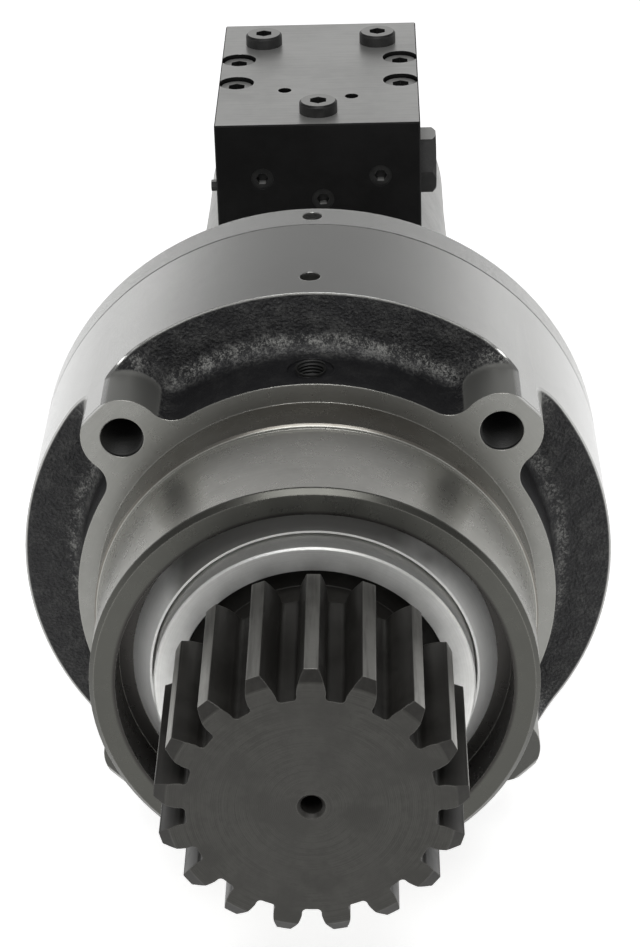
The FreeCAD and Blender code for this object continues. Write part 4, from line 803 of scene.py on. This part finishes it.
class GEARBOX_OT_castings(bpy.types.Operator):
    """Finish the gear housing, the brake casing, the motor casing and the end cover"""

    bl_idname = "gearbox.castings"
    bl_label = "Castings"

    def execute(self, context):
        look = context.scene.gearbox_castings
        give(["cast_housing"], housing_finish(look))
        give(["cast_motor"], motor_finish(look))
        return {"FINISHED"}


class GEARBOX_OT_output_shaft(bpy.types.Operator):
    """Finish the pinion shaft, its collar and the oil seal"""

    bl_idname = "gearbox.output_shaft"
    bl_label = "Output Shaft and Seal"

    def execute(self, context):
        look = context.scene.gearbox_shaft
        give(["pinion_steel"], pinion_finish(look))
        give(["collar_steel"], turned_finish(
            "collar_steel", look.collar, (0.55, 0.55, 0.53), roughness=0.42, pitch=0.3 * MM,
            metallic=0.82, smudge=0.35, edge=(0.66, 0.66, 0.64)))
        give(["seal_case"], seal_finish(look))
        give(["seal_rubber"], rubber_finish())
        return {"FINISHED"}


class GEARBOX_OT_valve_block(bpy.types.Operator):
    """Finish the valve block, its plugs, cap and nipple"""

    bl_idname = "gearbox.valve_block"
    bl_label = "Valve Block"

    def execute(self, context):
        look = context.scene.gearbox_block
        give(["block_paint"], block_finish(look))
        give(["plug_steel"], speckled_finish(
            "phosphate_black", look.screws, (0.03, 0.03, 0.029), roughness=0.40, metallic=0.2,
            grain=0.5 * MM, depth=0.02 * MM, edge=(0.12, 0.12, 0.12), top=look.screw_top_highlight))
        return {"FINISHED"}


class GEARBOX_OT_fasteners(bpy.types.Operator):
    """Finish the black screws"""

    bl_idname = "gearbox.fasteners"
    bl_label = "Screws"

    def execute(self, context):
        look = context.scene.gearbox_block
        give(["black_screws"], speckled_finish(
            "oxide_black", look.screws, BLACKENED, roughness=0.36, metallic=0.2,
            grain=0.4 * MM, depth=0.015 * MM, edge=(0.14, 0.14, 0.14), top=look.screw_top_highlight))
        sunk = speckled_finish(
            "oxide_black_sunk", look.screws, BLACKENED, roughness=0.4, metallic=0.2,
            grain=0.4 * MM, depth=0.015 * MM)
        for node in ("housing_grub_screw", "flange_grub_screw"):
            cover(node, sunk)
        return {"FINISHED"}


class GEARBOX_OT_inner_steel(bpy.types.Operator):
    """Finish the bearings, gears, carriers, brake and motor parts inside"""

    bl_idname = "gearbox.inner_steel"
    bl_label = "Inner Parts"

    def execute(self, context):
        give(["bearing_steel"], turned_finish(
            "bearing_steel", (0.60, 0.61, 0.62), (0.42, 0.42, 0.43),
            roughness=0.18, pitch=0.2 * MM, smudge=0.2))
        give(["gear_steel"], turned_finish(
            "gear_steel", (0.30, 0.30, 0.31), (0.17, 0.17, 0.18), roughness=0.32, pitch=0.5 * MM))
        give(["machined_steel"], turned_finish(
            "machined_steel", (0.45, 0.45, 0.46), (0.28, 0.28, 0.28),
            roughness=0.34, pitch=0.6 * MM))
        give(["bronze"], turned_finish(
            "bearing_bronze", (0.55, 0.36, 0.15), (0.33, 0.20, 0.08),
            roughness=0.3, pitch=0.4 * MM, edge=(0.75, 0.55, 0.28)))
        give(["friction_lining"], speckled_finish(
            "sintered_lining", (0.20, 0.15, 0.10), (0.10, 0.08, 0.06), roughness=0.75,
            metallic=0.2, grain=0.8 * MM, depth=0.08 * MM))
        return {"FINISHED"}


class GEARBOX_OT_port_threads(bpy.types.Operator):
    """Cut threads in the ear holes, the neck port, the work ports and the drain port"""

    bl_idname = "gearbox.port_threads"
    bl_label = "Port Threads"

    def execute(self, context):
        threads = context.scene.gearbox_threads
        # Painted shade: the threads are coloured near black, as the holes lie in shade
        plain = turned_finish(
            "thread_painted_shade", (0.012, 0.012, 0.011), (0.006, 0.006, 0.006), roughness=0.5,
            pitch=0.4 * MM, metallic=0.2, edge=(0.05, 0.05, 0.05))
        rows = (
            ("neck_port", "cast_housing"), ("work_port_left", "block_paint"),
            ("work_port_right", "block_paint"), ("drain_port", "cast_motor"),
        )
        for mount, slot in rows:
            dims = MOUNTS[mount]["dims"]
            internal_thread(mount + "_thread", MOUNTS[mount]["pos_m"], MOUNTS[mount]["axis"],
                            dims["r_mm"] * MM, dims["length_mm"] * MM, threads, plain)
        for x in (-EAR_PLACE, EAR_PLACE):
            for z in (-EAR_PLACE, EAR_PLACE):
                name = "ear_%s_%s_thread" % ("left" if x < 0 else "right", "low" if z < 0 else "high")
                internal_thread(name, (x, EAR_HOLE_DEPTH / 2, z), (0, -1, 0), EAR_HOLE_R, EAR_HOLE_DEPTH,
                                threads, plain)
        return {"FINISHED"}


class GEARBOX_OT_studio(bpy.types.Operator):
    """Set up the floor, the soft light, the world and the camera"""

    bl_idname = "gearbox.studio"
    bl_label = "Studio"

    def execute(self, context):
        studio = context.scene.gearbox_studio
        build_floor(studio)
        build_world(studio)
        build_lamp("softbox", studio.softbox_power)
        build_camera()
        context.scene.view_settings.view_transform = "Standard"
        return {"FINISHED"}


def white_rays(w):
    """Share of a ray that sees the plain background: camera, mirror or clear rays."""
    path = w.add("ShaderNodeLightPath")
    seen = w.math("MAXIMUM", path.outputs["Is Camera Ray"], path.outputs["Is Glossy Ray"])
    return w.math("MAXIMUM", seen, path.outputs["Is Transmission Ray"])


def build_floor(studio):
    mesh = bpy.data.meshes.new("studio_floor")
    bm = bmesh.new()
    bmesh.ops.create_grid(bm, x_segments=8, y_segments=8, size=FLOOR_SIZE / 2)
    bm.to_mesh(mesh)
    bm.free()
    floor = bpy.data.objects.new("studio_floor", mesh)
    floor.location.z = cad_box[0].z - FLOOR_GAP
    bpy.context.scene.collection.objects.link(floor)
    f = Finish("studio_floor")
    f.set(Base_Color=tuple(studio.floor_colour), Roughness=0.9,
          Emission_Color=(1.0, 1.0, 1.0, 1.0),
          Emission_Strength=f.w.math("MULTIPLY", white_rays(f.w), studio.floor_glow))
    mesh.materials.append(f.material)


def build_world(studio):
    world = bpy.data.worlds.new("studio_world")
    world.use_nodes = True
    bpy.context.scene.world = world
    tree = world.node_tree
    tree.nodes.clear()
    w = Wiring(tree)
    way = w.add("ShaderNodeTexCoord")
    split = w.add("ShaderNodeSeparateXYZ")
    w.put(split.inputs[0], way.outputs["Generated"])
    room = w.step(split.outputs[2], 0.0, 0.44, studio.sky_low, studio.sky_high)
    path = w.add("ShaderNodeLightPath")
    strength = w.between(path.outputs["Is Camera Ray"], room, 1.0)
    background = w.add("ShaderNodeBackground")
    w.put(background.inputs["Strength"], strength)
    background.inputs["Color"].default_value = (1.0, 1.0, 1.0, 1.0)
    sink = w.add("ShaderNodeOutputWorld")
    tree.links.new(background.outputs[0], sink.inputs["Surface"])


def build_lamp(name, power):
    light = bpy.data.lights.new(name, "AREA")
    light.shape = "DISK"
    light.size = SOFTBOX_SIZE
    light.energy = power
    lamp = bpy.data.objects.new(name, light)
    bpy.context.scene.collection.objects.link(lamp)
    lamp.location = SOFTBOX_PLACE
    lamp.rotation_mode = "QUATERNION"
    lamp.rotation_quaternion = (SOFTBOX_TARGET - SOFTBOX_PLACE).to_track_quat("-Z", "Y")


def build_camera():
    data = bpy.data.cameras.new("photo_camera")
    data.sensor_fit = "VERTICAL"
    data.sensor_height = SENSOR
    data.sensor_width = SENSOR
    data.lens = CAMERA_LENS
    camera = bpy.data.objects.new("photo_camera", data)
    bpy.context.scene.collection.objects.link(camera)
    back = CAMERA_RIGHT.cross(CAMERA_UP)
    columns = Matrix((CAMERA_RIGHT, CAMERA_UP, back)).transposed()
    camera.matrix_world = Matrix.Translation(CAMERA_PLACE) @ columns.to_4x4()
    bpy.context.scene.camera = camera


class GEARBOX_PT_panel(bpy.types.Panel):
    """Sizes, colours and steps of the gearbox's looks"""

    bl_idname = "GEARBOX_PT_panel"
    bl_label = "Swing Gearbox"
    bl_space_type = "VIEW_3D"
    bl_region_type = "UI"
    bl_category = "Gearbox"

    def draw(self, context):
        layout = self.layout
        for operator in OPERATORS:
            layout.operator(operator.bl_idname)
        for name, group in SETTINGS.items():
            box = layout.box()
            box.label(text=group.__doc__)
            for label in group.__annotations__:
                box.prop(getattr(context.scene, name), label)


SETTINGS = {
    "gearbox_castings": CastingSettings,
    "gearbox_shaft": ShaftSettings,
    "gearbox_block": BlockSettings,
    "gearbox_threads": ThreadSettings,
    "gearbox_studio": StudioSettings,
}
OPERATORS = (
    GEARBOX_OT_effects, GEARBOX_OT_castings, GEARBOX_OT_output_shaft, GEARBOX_OT_valve_block,
    GEARBOX_OT_fasteners, GEARBOX_OT_inner_steel, GEARBOX_OT_port_threads, GEARBOX_OT_studio,
)


def register():
    for name, group in SETTINGS.items():
        bpy.utils.register_class(group)
        setattr(bpy.types.Scene, name, PointerProperty(type=group))
    for operator in OPERATORS:
        bpy.utils.register_class(operator)
    bpy.utils.register_class(GEARBOX_PT_panel)


def unregister():
    bpy.utils.unregister_class(GEARBOX_PT_panel)
    for operator in reversed(OPERATORS):
        bpy.utils.unregister_class(operator)
    for name, group in SETTINGS.items():
        delattr(bpy.types.Scene, name)
        bpy.utils.unregister_class(group)


def main():
    register()
    bpy.ops.gearbox.effects()
    bpy.ops.gearbox.castings()
    bpy.ops.gearbox.output_shaft()
    bpy.ops.gearbox.valve_block()
    bpy.ops.gearbox.fasteners()
    bpy.ops.gearbox.inner_steel()
    bpy.ops.gearbox.port_threads()
    bpy.ops.gearbox.studio()


if __name__ == "__main__":
    main()
